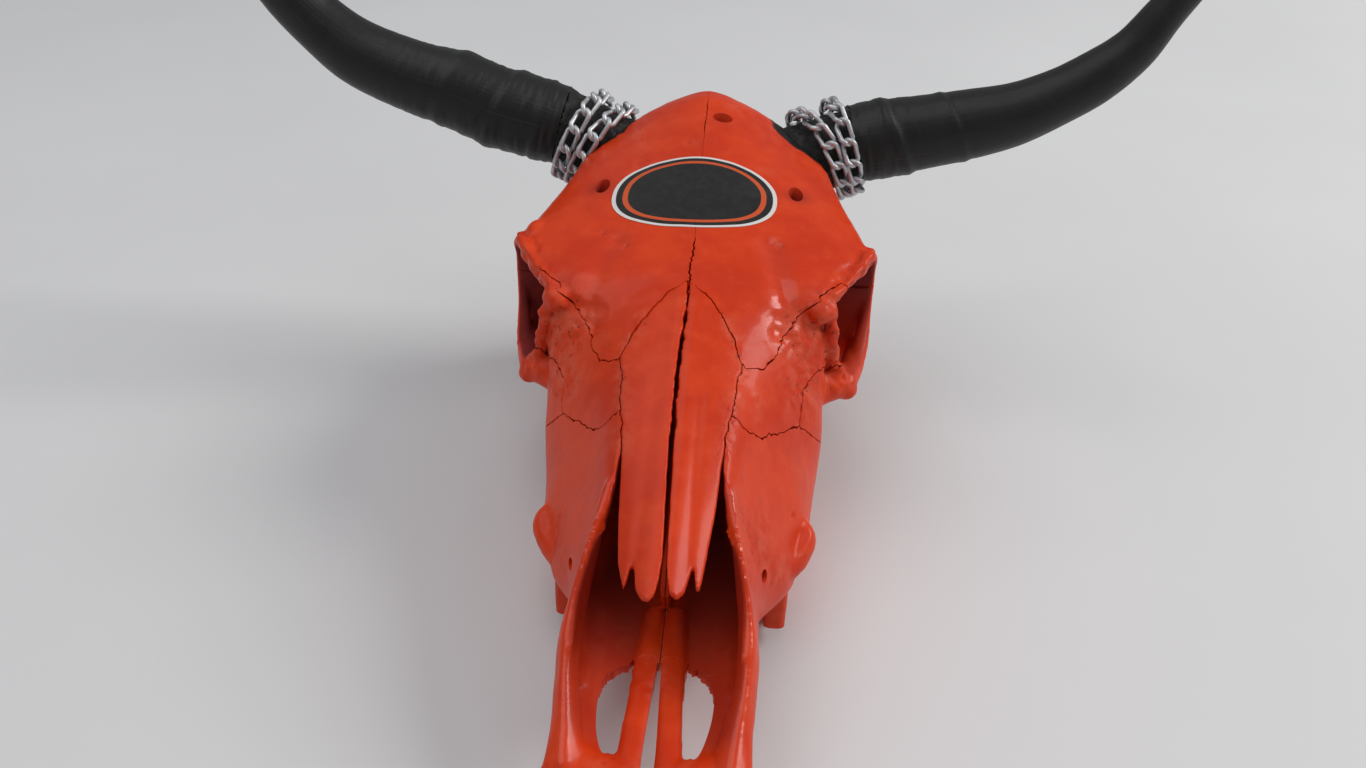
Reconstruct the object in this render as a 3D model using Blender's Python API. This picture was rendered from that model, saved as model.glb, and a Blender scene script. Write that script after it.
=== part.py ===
"""A life-size cow skull without its lower jaw, lying on its cheek teeth, with horns and two chains.

X runs across the skull, Y from the muzzle (-) to the poll (+) and Z up, with the floor at z = 0.
The tables hold millimetres in the skull's own layout, and MM turns them into metres.
"""

import math

import bmesh
import bpy
import numpy as np
from mathutils import Matrix

MM = 0.001
SUTURE = 0.3  # the seam that is left between two bones
SIDES = {"left": -1, "right": 1}

# The skull's long axis: the midline height of the upper surface at each Y, from the nose to the poll
ROOF_LINE = [(-195, 109), (-150, 123), (-120, 133), (-82, 147), (-45, 160), (-8, 172), (20, 179),
             (60, 188), (100, 196), (150, 207), (185, 217), (200, 215)]

# Face: at each Y, one half of the section from the roof's middle round to the palate's middle.
# The points are the roof, the nasal edge, the upper cheek, the facial crest, the outer gum,
# the inner gum and the palate.
FACE = {
    -200: [(0, 106), (20, 102), (35, 88), (43, 70), (45, 50), (34, 40), (0, 42)],
    -175: [(0, 115), (24, 110), (39, 94), (47, 72), (48, 50), (38, 39), (0, 42)],
    -148: [(0, 123), (27, 117), (41, 97), (49.5, 70), (50, 47), (41, 38), (0, 43)],
    -122: [(0, 132), (28, 126), (44, 102), (61, 68), (65.5, 42), (48, 33), (0, 45)],
    -106: [(0, 138), (29, 132), (47, 105), (68, 62), (68, 31), (45, 25), (0, 46)],
    -91: [(0, 143), (30, 137), (51, 108), (74, 62), (70, 27), (45, 22), (0, 47)],
    -60: [(0, 154), (33, 147), (58, 121), (79, 70), (73, 26), (45, 20), (0, 48)],
    -30: [(0, 165), (40, 157), (68, 134), (84, 88), (73, 28), (44, 21), (0, 50)],
    -4: [(0, 172), (52, 164), (80, 146), (80, 104), (67, 34), (41, 26), (0, 52)],
    14: [(0, 172), (52, 162), (70, 142), (66, 104), (59, 46), (37, 36), (0, 56)],
}

# Nasal cavity, in the same layout with one point fewer
CAVITY = {
    -215: [(0, 125), (24, 120), (38, 96), (40, 64), (31, 47), (0, 46)],
    -175: [(0, 122), (24, 116), (39, 92), (40, 64), (32, 47), (0, 46)],
    -140: [(0, 120), (25, 113), (40, 90), (43, 64), (35, 48), (0, 47)],
    -105: [(0, 136), (25, 131), (42, 102), (48, 70), (37, 52), (0, 50)],
    -60: [(0, 151), (28, 143), (46, 114), (50, 82), (34, 58), (0, 55)],
    -20: [(0, 156), (22, 146), (36, 118), (40, 88), (26, 62), (0, 58)],
    8: [(0, 112), (12, 108), (20, 96), (20, 80), (14, 68), (0, 64)],
}

# Forehead: Y, half width, height in the middle, height at the edge, underside
FOREHEAD = [(-24, 46, 166, 156, 136), (0, 84, 174, 165, 140), (20, 97, 179, 168, 144),
            (46, 109, 185, 169, 150), (66, 105, 189, 172, 150), (95, 97, 195, 175, 150),
            (130, 90, 203, 178, 150), (165, 82, 211, 181, 150), (190, 66, 216, 184, 150),
            (203, 46, 213, 186, 160), (209, 24, 204, 188, 170)]

# Braincase: Y, half width, top, bottom
BRAINCASE = [(8, 22, 150, 66), (35, 32, 160, 68), (70, 50, 168, 66), (110, 62, 174, 64),
             (150, 66, 178, 62), (182, 60, 180, 66)]

# Back of the skull, seen from behind: half of its outline, from the poll down to the midline below
NAPE_OUTLINE = [(0, 210), (36, 202), (62, 186), (62, 158), (74, 128), (92, 104), (88, 84), (60, 74), (0, 70)]
NAPE_DEPTHS = [(150, 0.80), (166, 0.97), (182, 1.0), (192, 0.93), (199, 0.76), (203, 0.45)]

# The nasal bones in plan: their outer edge, the two tips of each, and where the gap between them runs, as
# Y with the middle and half the width
NASAL_EDGE = [(0.8, -7), (11.5, -16.5), (22, -31), (30, -46), (33.5, -56), (31.5, -66), (30, -83), (28, -96),
              (25.5, -122), (24, -145)]
NASAL_TIPS = {
    -1: [(22.5, -161), (21.2, -172), (18.9, -180.5), (17, -187), (15.8, -184.5), (13.6, -172.5), (11.8, -183),
         (10.8, -189), (7.5, -194.6), (4.5, -196.5), (1.6, -193), (0.2, -185)],
    1: [(23, -153), (21.7, -164), (20.8, -172), (20, -179), (18.9, -184.5), (17.3, -185), (15.3, -172.5),
        (13.3, -183), (12, -188.5), (8.8, -193), (5.4, -191.5), (3.8, -184)],
}
NASAL_GAP = [(-175, 1.6, 1.1), (-166, 1.3, 1.1), (-142, 0.4, 1.2), (-115, -0.5, 1.3), (-98, -0.9, 1.3),
             (-74, -1.3, 1.1), (-51, -0.5, 0.9), (-35, 0.5, 0.7), (-16, 0.7, 0.6)]
NASAL_ARCH = [(-200, 18), (-150, 12), (-120, 8), (-90, 6.2), (-60, 5.6), (0, 4)]

# Where the bones of one side part: points on the surface, or a side view with X left at nought
LACRIMAL = [(92, 8, 168), (84, 3, 167), (76.5, -1, 163), (62, -18, 152.5), (53.5, -38, 145.5), (47, -51.5, 141.5),
            (40.5, -55, 144.5), (31, -57.5, 149), (27, -89, 138), (40.5, -90, 127.7), (47, -84.5, 121.3),
            (57, -70, 114.5), (68.7, -54, 107), (69.2, -40, 121), (76.8, -25, 124.3), (90, -10.5, 125),
            (106, -4, 124), (104, 10, 150)]
ZYGOMATIC = [(0, -54, 107), (0, -40, 121), (0, -25, 124.5), (0, -8, 126), (0, 20, 124), (0, 30, 139), (0, 66, 141),
             (0, 68, 118), (0, 78, 108), (0, 62, 84), (0, 30, 76), (0, 0, 70), (0, -22, 74), (0, -42, 88)]
PREMAXILLA = [(0, -133, 96), (0, -150, 70), (0, -170, 56), (0, -188, 44), (0, -188, 20), (0, -290, 20),
              (0, -290, 130), (0, -133, 130)]
FRONTAL = [(0, -80, 126), (0, -52, 140), (0, -24, 148), (0, 4, 150), (0, 30, 141), (0, 64, 141), (0, 96, 156),
           (0, 150, 160), (0, 180, 170), (0, 225, 178), (0, 225, 240), (0, -80, 240)]
MAXILLA = [(0.15, -28, 0), (22, -24, 0), (27, 2, 0), (31, 16, 0), (44, 34, 0), (110, 34, 0), (110, -230, 0),
           (0.15, -230, 0)]
TEMPORAL = [(26, 112, 0), (46, 108, 0), (52, 92, 0), (72, 66, 0), (140, 66, 0), (140, 150, 0), (26, 150, 0)]
OCCIPITAL = [(0, 151, -5), (0, 151, 100), (0, 158, 130), (0, 166, 150), (0, 176, 190), (0, 240, 190), (0, 240, -5)]

# Cheek teeth of one side: length, width and the height of the worn end above the floor
TEETH = [(14, 14, 16), (17, 17, 6), (19, 19, 0), (25, 23, 0), (28, 24, 0), (30, 22, 0)]
TOOTH_ROW = [(-122, 60), (-100, 60), (-80, 59.5), (-50, 58.5), (-20, 56.5), (14, 52)]

# Horns: the bony root, the sheath's middle line with its thickness, and its growth rings as the
# distance along the sheath, the height, the length and the lean of each
ROOT = {"left": [(-56, 184, 167), (-78, 188, 177), (-107.5, 190, 188.9)],
        "right": [(56, 184, 167), (80, 188, 174), (107.5, 190, 184)]}
SHEATH = {
    "left": [(-107, 190, 188.7, 58), (-122, 190, 192.8, 60), (-157, 190, 202, 59.5), (-181, 190, 212, 58),
             (-204, 190, 218, 54), (-230, 190, 227, 51), (-253, 190, 238, 48), (-275, 190, 256, 43),
             (-297, 188, 282, 39), (-315, 184, 315, 33), (-327, 178, 350, 25), (-333, 170, 385, 15),
             (-334, 164, 412, 3)],
    "right": [(107, 190, 183.9, 56.5), (122, 190, 187.2, 58), (157, 190, 195, 53.5), (188, 190, 202, 50.5),
              (216, 190, 210, 46), (241, 190, 222, 41), (267, 190, 239, 38), (286, 190, 257, 33),
              (301, 190, 282, 28), (318, 188, 312, 24), (330, 184, 345, 18), (336, 178, 378, 11),
              (338, 172, 400, 2.5)],
}
GROWTH_RINGS = {"left": [(14, 0.7, 5, 2), (43, 1.3, 6, 8), (83, 1.0, 6, 5)],
                "right": [(29, 1.3, 5, 7), (70, 0.7, 4, 6)]}

# Chain: the way along the root at each angle round it, which gives two turns, and the link's size
WINDING = {
    "left": [(0, 30), (90, 16), (158, 16), (195, 21), (223, 26), (248, 29), (278, 31.5), (332, 33), (360, 34.5),
             (450, 36), (520, 36), (560, 40), (600, 42), (640, 43), (692, 42.5), (720, 42)],
    "right": [(0, 26), (90, 18), (159, 19), (189, 25), (215, 31), (241, 35), (270, 37), (315, 38), (360, 39.5),
              (450, 40.5), (519, 42), (560, 44.5), (600, 45.5), (660, 45.5), (720, 44)],
}
CHAIN_RADIUS = 33
LINKS = 29
LINK_WIDTH, WIRE = 10.5, 3.0


def smooth(knots, at):
    """The curve through the knots, whose first column is the parameter, at the wanted parameters."""
    knots = np.asarray(knots, float)
    t, values = knots[:, 0], knots[:, 1:]
    slopes = np.gradient(values, t, axis=0)
    at = np.clip(np.atleast_1d(np.asarray(at, float)), t[0], t[-1])
    i = np.clip(np.searchsorted(t, at, side="right") - 1, 0, len(t) - 2)
    step = (t[i + 1] - t[i])[:, None]
    s = ((at - t[i]) / step[:, 0])[:, None]
    return (
        (2 * s**3 - 3 * s**2 + 1) * values[i]
        + (s**3 - 2 * s**2 + s) * step * slopes[i]
        + (3 * s**2 - 2 * s**3) * values[i + 1]
        + (s**3 - s**2) * step * slopes[i + 1]
    )


def along(points, count):
    """Points spread evenly on the smooth curve through a few hand-placed ones."""
    points = np.asarray(points, float)
    steps = np.linalg.norm(np.diff(points, axis=0), axis=1)
    knots = np.column_stack([np.r_[0, np.cumsum(steps)], points])
    return smooth(knots, np.linspace(0, knots[-1, 0], count))


def closed_ring(points, count):
    """A smooth closed ring through the points, which may be given at many stations at once."""
    points = np.asarray(points, float)
    t = np.linspace(0, points.shape[-2], count, endpoint=False)
    i, s = t.astype(int), (t % 1)[:, None]
    p = [points[..., (i + k) % points.shape[-2], :] for k in (-1, 0, 1, 2)]
    return 0.5 * (
        2 * p[1] + (p[2] - p[0]) * s
        + (2 * p[0] - 5 * p[1] + 4 * p[2] - p[3]) * s**2
        + (3 * p[1] - p[0] - 3 * p[2] + p[3]) * s**3
    )


def mesh_object(name, points, faces):
    mesh = bpy.data.meshes.new(name)
    mesh.from_pydata((np.asarray(points, float) * MM).tolist(), [], faces)
    obj = bpy.data.objects.new(name, mesh)
    bpy.context.scene.collection.objects.link(obj)
    face_out(mesh)
    return obj


def face_out(mesh):
    work = bmesh.new()
    work.from_mesh(mesh)
    bmesh.ops.recalc_face_normals(work, faces=work.faces)
    work.to_mesh(mesh)
    work.free()


def skin(name, rings):
    """A closed solid over rings of points, each ring joined to the next and both ends filled."""
    rings = np.asarray(rings, float)
    count, around = rings.shape[:2]
    i, j = np.meshgrid(np.arange(count - 1), np.arange(around), indexing="ij")
    k = (j + 1) % around
    faces = np.stack([i * around + j, i * around + k, (i + 1) * around + k, (i + 1) * around + j], -1)
    caps = [list(range(around)), list(range((count - 1) * around, count * around))]
    return mesh_object(name, rings.reshape(-1, 3), faces.reshape(-1, 4).tolist() + caps)


def section_loft(name, table, count=40, around=40):
    """A solid along Y over half sections that are mirrored in X."""
    stations = sorted(table)
    half = np.array([table[y] for y in stations], float)
    mirrored = half[:, -2:0:-1] * (-1, 1)
    full = np.concatenate([half, mirrored], axis=1)
    y = np.linspace(stations[0], stations[-1], count)
    flat = smooth(np.column_stack([stations, full.reshape(len(stations), -1)]), y)
    ring = closed_ring(flat.reshape(count, -1, 2), around)
    return skin(name, np.stack([ring[..., 0], np.broadcast_to(y[:, None], ring.shape[:2]), ring[..., 1]], -1))


def tube(name, path, widths, heights, up=(0, 0, 1), count=28, around=16):
    """A rod with an oval section along a path. Its height lies as near as it can to the up direction."""
    centre = along(path, count)
    share = np.linspace(0, 1, len(path))
    at = np.linspace(0, 1, count)
    width = smooth(np.column_stack([share, widths]), at)
    height = smooth(np.column_stack([share, heights]), at)
    ahead = np.gradient(centre, axis=0)
    ahead /= np.linalg.norm(ahead, axis=1)[:, None]
    side = np.cross(ahead, up)
    side /= np.linalg.norm(side, axis=1)[:, None]
    rise = np.cross(side, ahead)
    angle = np.linspace(0, 2 * math.pi, around, endpoint=False)
    rings = (
        centre[:, None]
        + np.cos(angle)[None, :, None] * (side * width / 2)[:, None]
        + np.sin(angle)[None, :, None] * (rise * height / 2)[:, None]
    )
    return skin(name, rings)


def blob(name, centre, radii, count=18, around=24):
    """An egg shape with its long axis along Y."""
    polar = np.linspace(0.06, math.pi - 0.06, count)[:, None]
    angle = np.linspace(0, 2 * math.pi, around, endpoint=False)[None]
    rings = np.stack(
        [np.sin(polar) * np.cos(angle), -np.cos(polar) + 0 * angle, np.sin(polar) * np.sin(angle)], -1
    )
    return skin(name, np.asarray(centre) + rings * radii)


def both(build):
    """The pieces that a function of the side makes for the left and the right."""
    return [piece for sign in SIDES.values() for piece in build(sign)]


def at_side(sign, points):
    return [(sign * x, y, z) for x, y, z in points]


def forehead():
    table = {}
    for y, wide, middle, edge, under in FOREHEAD:
        table[y] = [
            (0, middle), (0.45 * wide, 0.75 * middle + 0.25 * edge), (0.82 * wide, 0.3 * middle + 0.7 * edge),
            (wide, edge - 3), (wide - 4, edge - 12), (0.6 * wide, under), (0, under - 6),
        ]
    return section_loft("forehead", table)


def braincase():
    table = {}
    for y, wide, top, bottom in BRAINCASE:
        middle = (top + bottom) / 2
        table[y] = [(0, top), (0.8 * wide, top - 6), (wide, middle), (0.7 * wide, bottom + 10), (0, bottom)]
    return section_loft("braincase", table)


def nape():
    table = {}
    centre = 135
    for y, share in NAPE_DEPTHS:
        table[y] = [(share * x, centre + share * (z - centre)) for x, z in NAPE_OUTLINE]
    return section_loft("nape", table, count=16, around=64)


def side_bones(sign):
    """The rods and eggs of bone on one side: ear, condyle, processes and the wings behind the palate."""
    yield tube("facial_tuber", at_side(sign, [(66, -84, 63), (75, -95, 58), (70, -108, 53), (60, -121, 50)]),
               [10, 12, 11, 8], [16, 16, 15, 12])
    yield tube("ear_tube", at_side(sign, [(50, 130, 90), (76, 132, 94), (90, 132, 99)]), [22, 19, 15], [24, 20, 15])
    yield blob("condyle", (sign * 27, 196, 86), (19, 19, 22))
    yield tube("jaw_hinge", at_side(sign, [(56, 112, 98), (80, 108, 99), (96, 104, 99)]), [30, 24, 16], [18, 14, 12])
    jugular = [(72, 166, 94), (66, 172, 62), (58, 172, 30), (52, 168, -16)]
    yield tube("jugular_process", at_side(sign, jugular), [30, 20, 15, 14], [24, 18, 16, 15], up=(0, 1, 0))
    yield blob("ear_bulla", (sign * 38, 132, 60), (12, 18, 19))
    yield tube("ear_spine", at_side(sign, [(38, 126, 60), (37, 118, 48), (36, 114, 36)]), [14, 9, 6], [18, 11, 6])
    wing = [(20, 0, 60), (20, 30, 57), (20, 58, 54), (22, 92, 66)]
    yield tube("throat_wing", at_side(sign, wing), [9, 8, 8, 12], [44, 50, 46, 22])
    hook = [(20, 52, 44), (21, 60, 31), (21, 66, 24)]
    yield tube("wing_hook", at_side(sign, hook), [8, 8, 6], [12, 9, 6], up=(0, 1, 0))
    yield tube("jaw_swelling", at_side(sign, [(58, -8, 62), (56, 10, 60), (52, 24, 58)]), [30, 26, 16], [44, 38, 26])
    yield tube("eye_wall", at_side(sign, [(36, 6, 118), (40, 30, 118), (44, 62, 116)]), [26, 22, 26], [60, 60, 56])


def orbit_bones(sign):
    """The rim round the eye and the cheek arch, which the eye socket must not cut."""
    inner = 3 if sign < 0 else 0
    rim = [(84 - inner, -2, 163), (97 - inner, 18, 166), (110, 45, 167), (112.5, 56, 150), (112.5, 54, 126), (108, 30, 107),
           (99, 2, 103), (90, -6, 120), (86, -8, 142), (84 - inner, -2, 163)]
    yield tube("orbit_rim", at_side(sign, rim), [7, 6, 8, 7, 7, 9, 12, 8, 7, 7],
               [7, 7, 8, 7, 7, 10, 12, 9, 8, 7], up=(sign * 1, 0.2, 0.1), count=56)
    yield blob("brow_corner", (sign * 77, -4, 156), (9, 12, 8))
    shelf = [(72, 0, 161), (84, 22, 165.5), (98, 50, 167.5)]
    yield tube("brow_shelf", at_side(sign, shelf), [15, 17, 18], [6, 6, 7], count=30)
    if sign < 0:
        yield blob("brow_bulge", (-100.5, 57, 166), (8, 14, 8))
    plate = [(93, 57, 167), (94.5, 58, 144), (94.5, 58, 120), (97, 52, 84)]
    yield tube("eye_plate", at_side(sign, plate), [42, 43, 42, 30], [8, 8, 8, 9], up=(sign * 0.15, 1, 0))
    yield blob("cheek_corner", (sign * 99, 0, 98), (7.5, 9, 6))
    yield blob("cheek_body", (sign * 86, 2, 105), (14, 17, 10))
    cheek = [(60, -64, 78), (67, -36, 90), (75, -18, 99), (97, 0, 102), (104, 26, 101), (108, 62, 97),
             (105, 98, 101), (84, 134, 106)]
    yield tube("cheek_arch", at_side(sign, cheek), [14, 14, 14, 15, 11, 10, 10, 18], [22, 18, 16, 15, 18, 18, 16, 22])


def muzzle_bones(sign):
    """The front end: the outer bar with its ridge, the toothless plate and the inner bar."""
    ridge = [(31.5, -128, 117), (35, -146, 103), (39, -160, 90), (42, -172, 78), (44, -186, 68), (43, -206, 58),
             (40, -228, 52), (38, -246, 48)]
    yield tube("muzzle_bar", at_side(sign, ridge), [3, 4, 6, 8, 11, 12, 15, 20], [8, 14, 18, 22, 24, 22, 16, 12],
               count=40)
    shelf = [(40, -170, 45), (39, -190, 45), (36, -212, 45), (33, -232, 45), (31, -246, 45)]
    yield tube("muzzle_shelf", at_side(sign, shelf), [22, 21, 20, 25, 30], [9, 8, 8, 10, 11])
    plate = [(40, -236, 47), (26, -246, 46), (12, -246, 45)]
    yield tube("muzzle_plate", at_side(sign, plate), [20, 26, 20], [13, 12, 10])
    yield blob("muzzle_pad", (sign * 33, -250, 46), (17, 13, 6.5))
    inner = [(9.5, -246, 45), (8, -215, 46), (6.5, -180, 47), (6, -146, 49)]
    yield tube("inner_bar", at_side(sign, inner), [14, 13, 13, 9], [8, 7, 6, 6], count=40)


def carvings(sign):
    """What is hollow on one side: the eye socket and the ear hole."""
    socket = [(142, 14, 136), (112, 22, 135), (88, 28, 132), (64, 38, 126), (46, 46, 122)]
    yield tube("socket", at_side(sign, socket), [50, 50, 46, 36, 16], [50, 50, 46, 38, 18], count=30, around=28)
    yield tube("ear_hole", at_side(sign, [(74, 133, 95), (100, 131, 101)]), [6, 8], [6, 8])


def opening_cutter():
    """Everything above the edge of the nose opening, seen from the side."""
    edge = [(-100, 200), (-100, 139), (-108, 131.5), (-125, 124.5), (-138, 116), (-148, 108), (-156, 101),
            (-166, 92), (-176, 86), (-188, 80), (-204, 73), (-232, 66), (-290, 64), (-290, 200)]
    rings = [[(x, y, z) for y, z in edge] for x in (-70, 70)]
    return skin("opening_cutter", rings)


def slit_cutter():
    """The slits beside the nasal bones, which run into the nose opening."""
    edge = [(25.4, -106), (26.2, -111), (27.6, -127), (29.3, -139), (31.5, -147)]
    return block([(x, y, 0) for x, y in edge] + [(-x, y, 0) for x, y in reversed(edge)], (0, 0, 1), 84, 200)


def join(name, pieces):
    """One object that holds all the pieces' shells, which the voxels then fuse."""
    work = bmesh.new()
    for piece in pieces:
        work.from_mesh(piece.data)
        bpy.data.objects.remove(piece)
    mesh = bpy.data.meshes.new(name)
    work.to_mesh(mesh)
    work.free()
    obj = bpy.data.objects.new(name, mesh)
    bpy.context.scene.collection.objects.link(obj)
    return obj


def apply(obj):
    """Makes what the modifiers show the object's own mesh."""
    graph = bpy.context.evaluated_depsgraph_get()
    mesh = bpy.data.meshes.new_from_object(obj.evaluated_get(graph))
    obj.modifiers.clear()
    obj.data = mesh
    return obj


def voxel_fuse(obj, size):
    fuse = obj.modifiers.new("fuse", "REMESH")
    fuse.mode = "VOXEL"
    fuse.voxel_size = size * MM
    return apply(obj)


def combine(obj, other, operation="DIFFERENCE"):
    """A Boolean of two solids. The second one is used up."""
    change = obj.modifiers.new("combine", "BOOLEAN")
    change.operation, change.solver, change.object = operation, "MANIFOLD", other
    apply(obj)
    bpy.data.objects.remove(other)
    return obj


def copy_of(obj, name):
    twin = bpy.data.objects.new(name, obj.data.copy())
    bpy.context.scene.collection.objects.link(twin)
    return twin


def relax(obj, factor, repeat):
    even = obj.modifiers.new("even", "SMOOTH")
    even.factor, even.iterations = factor, repeat
    return apply(obj)


def thin_out(obj, triangles):
    thin = obj.modifiers.new("thin", "DECIMATE")
    thin.ratio = min(1, triangles / (2 * len(obj.data.polygons)))
    thin.use_collapse_triangulate = True
    return apply(obj)


def islands(work):
    """The connected sets of vertices of a mesh."""
    left = set(work.verts)
    while left:
        found, edge = set(), {next(iter(left))}
        while edge:
            found |= edge
            edge = {e.other_vert(v) for v in edge for e in v.link_edges} - found
        left -= found
        yield found


def keep_largest(obj):
    """Drops the crumbs that a cut leaves beside the main body."""
    work = bmesh.new()
    work.from_mesh(obj.data)
    groups = sorted(islands(work), key=len)
    bmesh.ops.delete(work, geom=[v for group in groups[:-1] for v in group], context="VERTS")
    work.to_mesh(obj.data)
    work.free()
    return obj


def offset(outline, distance):
    """A flat outline moved outwards by a distance, with mitred corners."""
    p = np.asarray(outline, float)
    into, out = p - np.roll(p, 1, 0), np.roll(p, -1, 0) - p
    area = np.sum(p[:, 0] * np.roll(p, -1, 0)[:, 1] - np.roll(p, -1, 0)[:, 0] * p[:, 1])
    normals = [np.sign(area) * np.column_stack([e[:, 1], -e[:, 0]]) / np.linalg.norm(e, axis=1)[:, None]
               for e in (into, out)]
    turn = np.maximum(1 + np.sum(normals[0] * normals[1], axis=1), 0.4)[:, None]
    return p + distance * (normals[0] + normals[1]) / turn


def block(points, direction, low, high, grow=0):
    """A closed outline pushed along a direction, from low to high of the outline's middle."""
    points = np.asarray(points, float)
    ahead = np.asarray(direction, float) / np.linalg.norm(direction)
    across = np.cross(ahead, (0, 1, 0) if abs(ahead[1]) < 0.9 else (1, 0, 0))
    across /= np.linalg.norm(across)
    other = np.cross(ahead, across)
    middle = points.mean(axis=0)
    flat = offset(np.column_stack([(points - middle) @ across, (points - middle) @ other]), grow)
    plane = middle + flat[:, :1] * across + flat[:, 1:] * other
    return skin("block", [plane + ahead * (low - grow), plane + ahead * (high + grow)])


def carve_out(bone, name, *shape):
    """The part of the bone inside the block, which leaves the bone with a seam's width round it."""
    piece = combine(copy_of(bone, name), block(*shape), "INTERSECT")
    combine(bone, block(*shape, grow=SUTURE))
    return keep_largest(piece)


def nasal(name, sign, grow=0):
    """An arched slab over the nose, cut to the bone's outline in plan."""
    y = np.linspace(-200, 0, 15)
    x = np.linspace(-40, 40, 9)
    drop = smooth(NASAL_ARCH, y)[:, :1] * (x / 30) ** 2
    top = smooth(ROOF_LINE, y)[:, :1] - drop + grow
    low = top - 2 * grow - np.interp(y, [-200, -100], [3.2, 4.8])[:, None]
    height = np.concatenate([top, low[:, ::-1]], axis=1)
    around = np.broadcast_to(np.r_[x, x[::-1]], height.shape)
    slab = skin(name, np.stack([around, np.broadcast_to(y[:, None], height.shape), height], -1))
    outline = [(sign * a, b, 0) for a, b in NASAL_EDGE + NASAL_TIPS[sign]]
    outline += [(middle + sign * half, b, 0) for b, middle, half in NASAL_GAP]
    return combine(slab, block(outline, (0, 0, 1), 80, 220, grow), "INTERSECT")


def fissure(sign):
    """The long opening in the muzzle between the outer bar and the inner one."""
    outline = [(13.5, -181), (19, -183), (26, -190), (28.5, -199), (28, -214), (25, -229), (21, -237), (17, -230),
               (13.5, -206)]
    return block([(sign * x, y, 0) for x, y in outline], (0, 0, 1), 20, 62)


def small_holes():
    """The vessel holes: two above the brows, two in front of the cheeks and one beside the poll."""
    for sign in SIDES.values():
        brow = at_side(sign, [(64, 92, 192), (62, 91, 176)])
        yield tube("brow_hole", brow, [11, 8], [19, 13], up=(0, 1, 0), count=3, around=8)
        cheek = at_side(sign, [(58, -148, 74), (44, -134, 72)])
        yield tube("cheek_hole", cheek, [8, 5], [9, 5], count=3, around=8)
    yield tube("poll_hole", [(13, 163, 214), (9, 161, 199)], [16, 10], [13, 9], up=(0, 1, 0), count=3, around=8)


def horn_root(name, side, grow=0, longer=0):
    thick = [54 + 2 * grow] * 3
    path = np.asarray(ROOT[side], float)
    path[0] -= grow * (path[1] - path[0]) / np.linalg.norm(path[1] - path[0])
    path[2] += longer * (path[2] - path[1]) / np.linalg.norm(path[2] - path[1])
    return tube(name, path, thick, thick, count=6, around=20)


def horn_core(side):
    """The root, ended in the plane of the sheath's open end."""
    first, second = np.asarray(SHEATH[side], float)[:2, :3]
    ahead = (second - first) / np.linalg.norm(second - first)
    level = np.cross(ahead, (0, 1, 0))
    corners = [first + 45 * (a * level + b * np.cross(level, ahead)) for a, b in ((1, 1), (-1, 1), (-1, -1), (1, -1))]
    return combine(horn_root("root", side, longer=9), block(corners, ahead, -SUTURE, 40))


def skull_blank(voxel=2.0, triangles=4150):
    """The whole skull before it is parted at its seams."""
    base = tube("skull_base", [(0, 20, 70), (0, 80, 68), (0, 130, 68), (0, 184, 72)], [16, 18, 30, 44],
                [22, 20, 22, 28])
    bone = join("cranium", [section_loft("face", FACE, around=56), forehead(), braincase(), nape(), base]
                + both(side_bones))
    voxel_fuse(bone, voxel)
    choana = tube("choana", [(0, -10, 92), (0, 14, 76), (0, 34, 52), (0, 52, 24)], [30, 34, 32, 30],
                  [44, 40, 40, 40])
    spinal = tube("spinal_hole", [(0, 150, 96), (0, 176, 99), (0, 220, 103)], [30, 36, 40], [26, 32, 36])
    hollow = join("hollow", [section_loft("cavity", CAVITY, around=40), choana, spinal] + both(carvings))
    voxel_fuse(hollow, voxel)
    combine(bone, hollow)
    combine(bone, opening_cutter())
    combine(bone, slit_cutter())
    wall = tube("septum", [(0, -152, 62), (0, -118, 78), (0, -60, 92), (0, 4, 100)], [5, 6, 11, 16], [26, 58, 84, 84])
    bone = join("cranium", [bone, wall] + both(muzzle_bones) + both(orbit_bones))
    voxel_fuse(bone, voxel)
    relax(bone, 0.5, 6)
    thin_out(bone, triangles)
    for sign in SIDES.values():
        combine(bone, fissure(sign))
        combine(bone, nasal("slot", sign, SUTURE))
    for hole in small_holes():
        combine(bone, hole)
    slot = [(-1.2, -182, 0), (-2.4, -206, 0), (-3.6, -232, 0), (-3.6, -290, 0), (2.8, -290, 0), (2.8, -232, 0),
            (1.8, -206, 0), (1, -182, 0)]
    combine(bone, block(slot, (0, 0, 1), 20, 80))
    for side in SIDES:
        combine(bone, horn_root("root_hole", side, SUTURE))
    combine(bone, block([(-90, -290, 0), (90, -290, 0), (90, 240, 0), (-90, 240, 0)], (0, 0, 1), -30, 0))
    return bone


def tooth(sign, front, length, width, low, rng):
    """One cheek tooth: a ring with two lobes, drawn in towards the worn end and towards the root."""
    angle = np.linspace(0, 2 * math.pi, 12, endpoint=False)
    lobes = 1 - 0.12 * np.cos(angle) ** 8
    across = 0.5 * width * np.sign(np.cos(angle)) * np.abs(np.cos(angle)) ** 0.7 * lobes
    along_row = 0.5 * (length - 1) * np.sign(np.sin(angle)) * np.abs(np.sin(angle)) ** 0.7
    y = front + length / 2
    x = smooth(TOOTH_ROW, [y])[0, 0]
    lean = rng.uniform(-0.6, 0.6, 2)
    rings = []
    for z, share in [(40, 0.88), (20, 1.0), (low + 1.5, 0.99), (low, 0.94)]:
        shift = lean * (30 - z) / 30
        rings.append(np.column_stack([
            sign * (x + shift[0] + share * across), y + shift[1] + share * along_row, np.full(12, z)
        ]))
    return skin("tooth", rings)


def tooth_row(maxilla, sign, rng):
    front = TOOTH_ROW[0][0]
    for length, width, low in TEETH:
        combine(maxilla, tooth(sign, front, length, width, low, rng), "UNION")
        front += length


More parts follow.
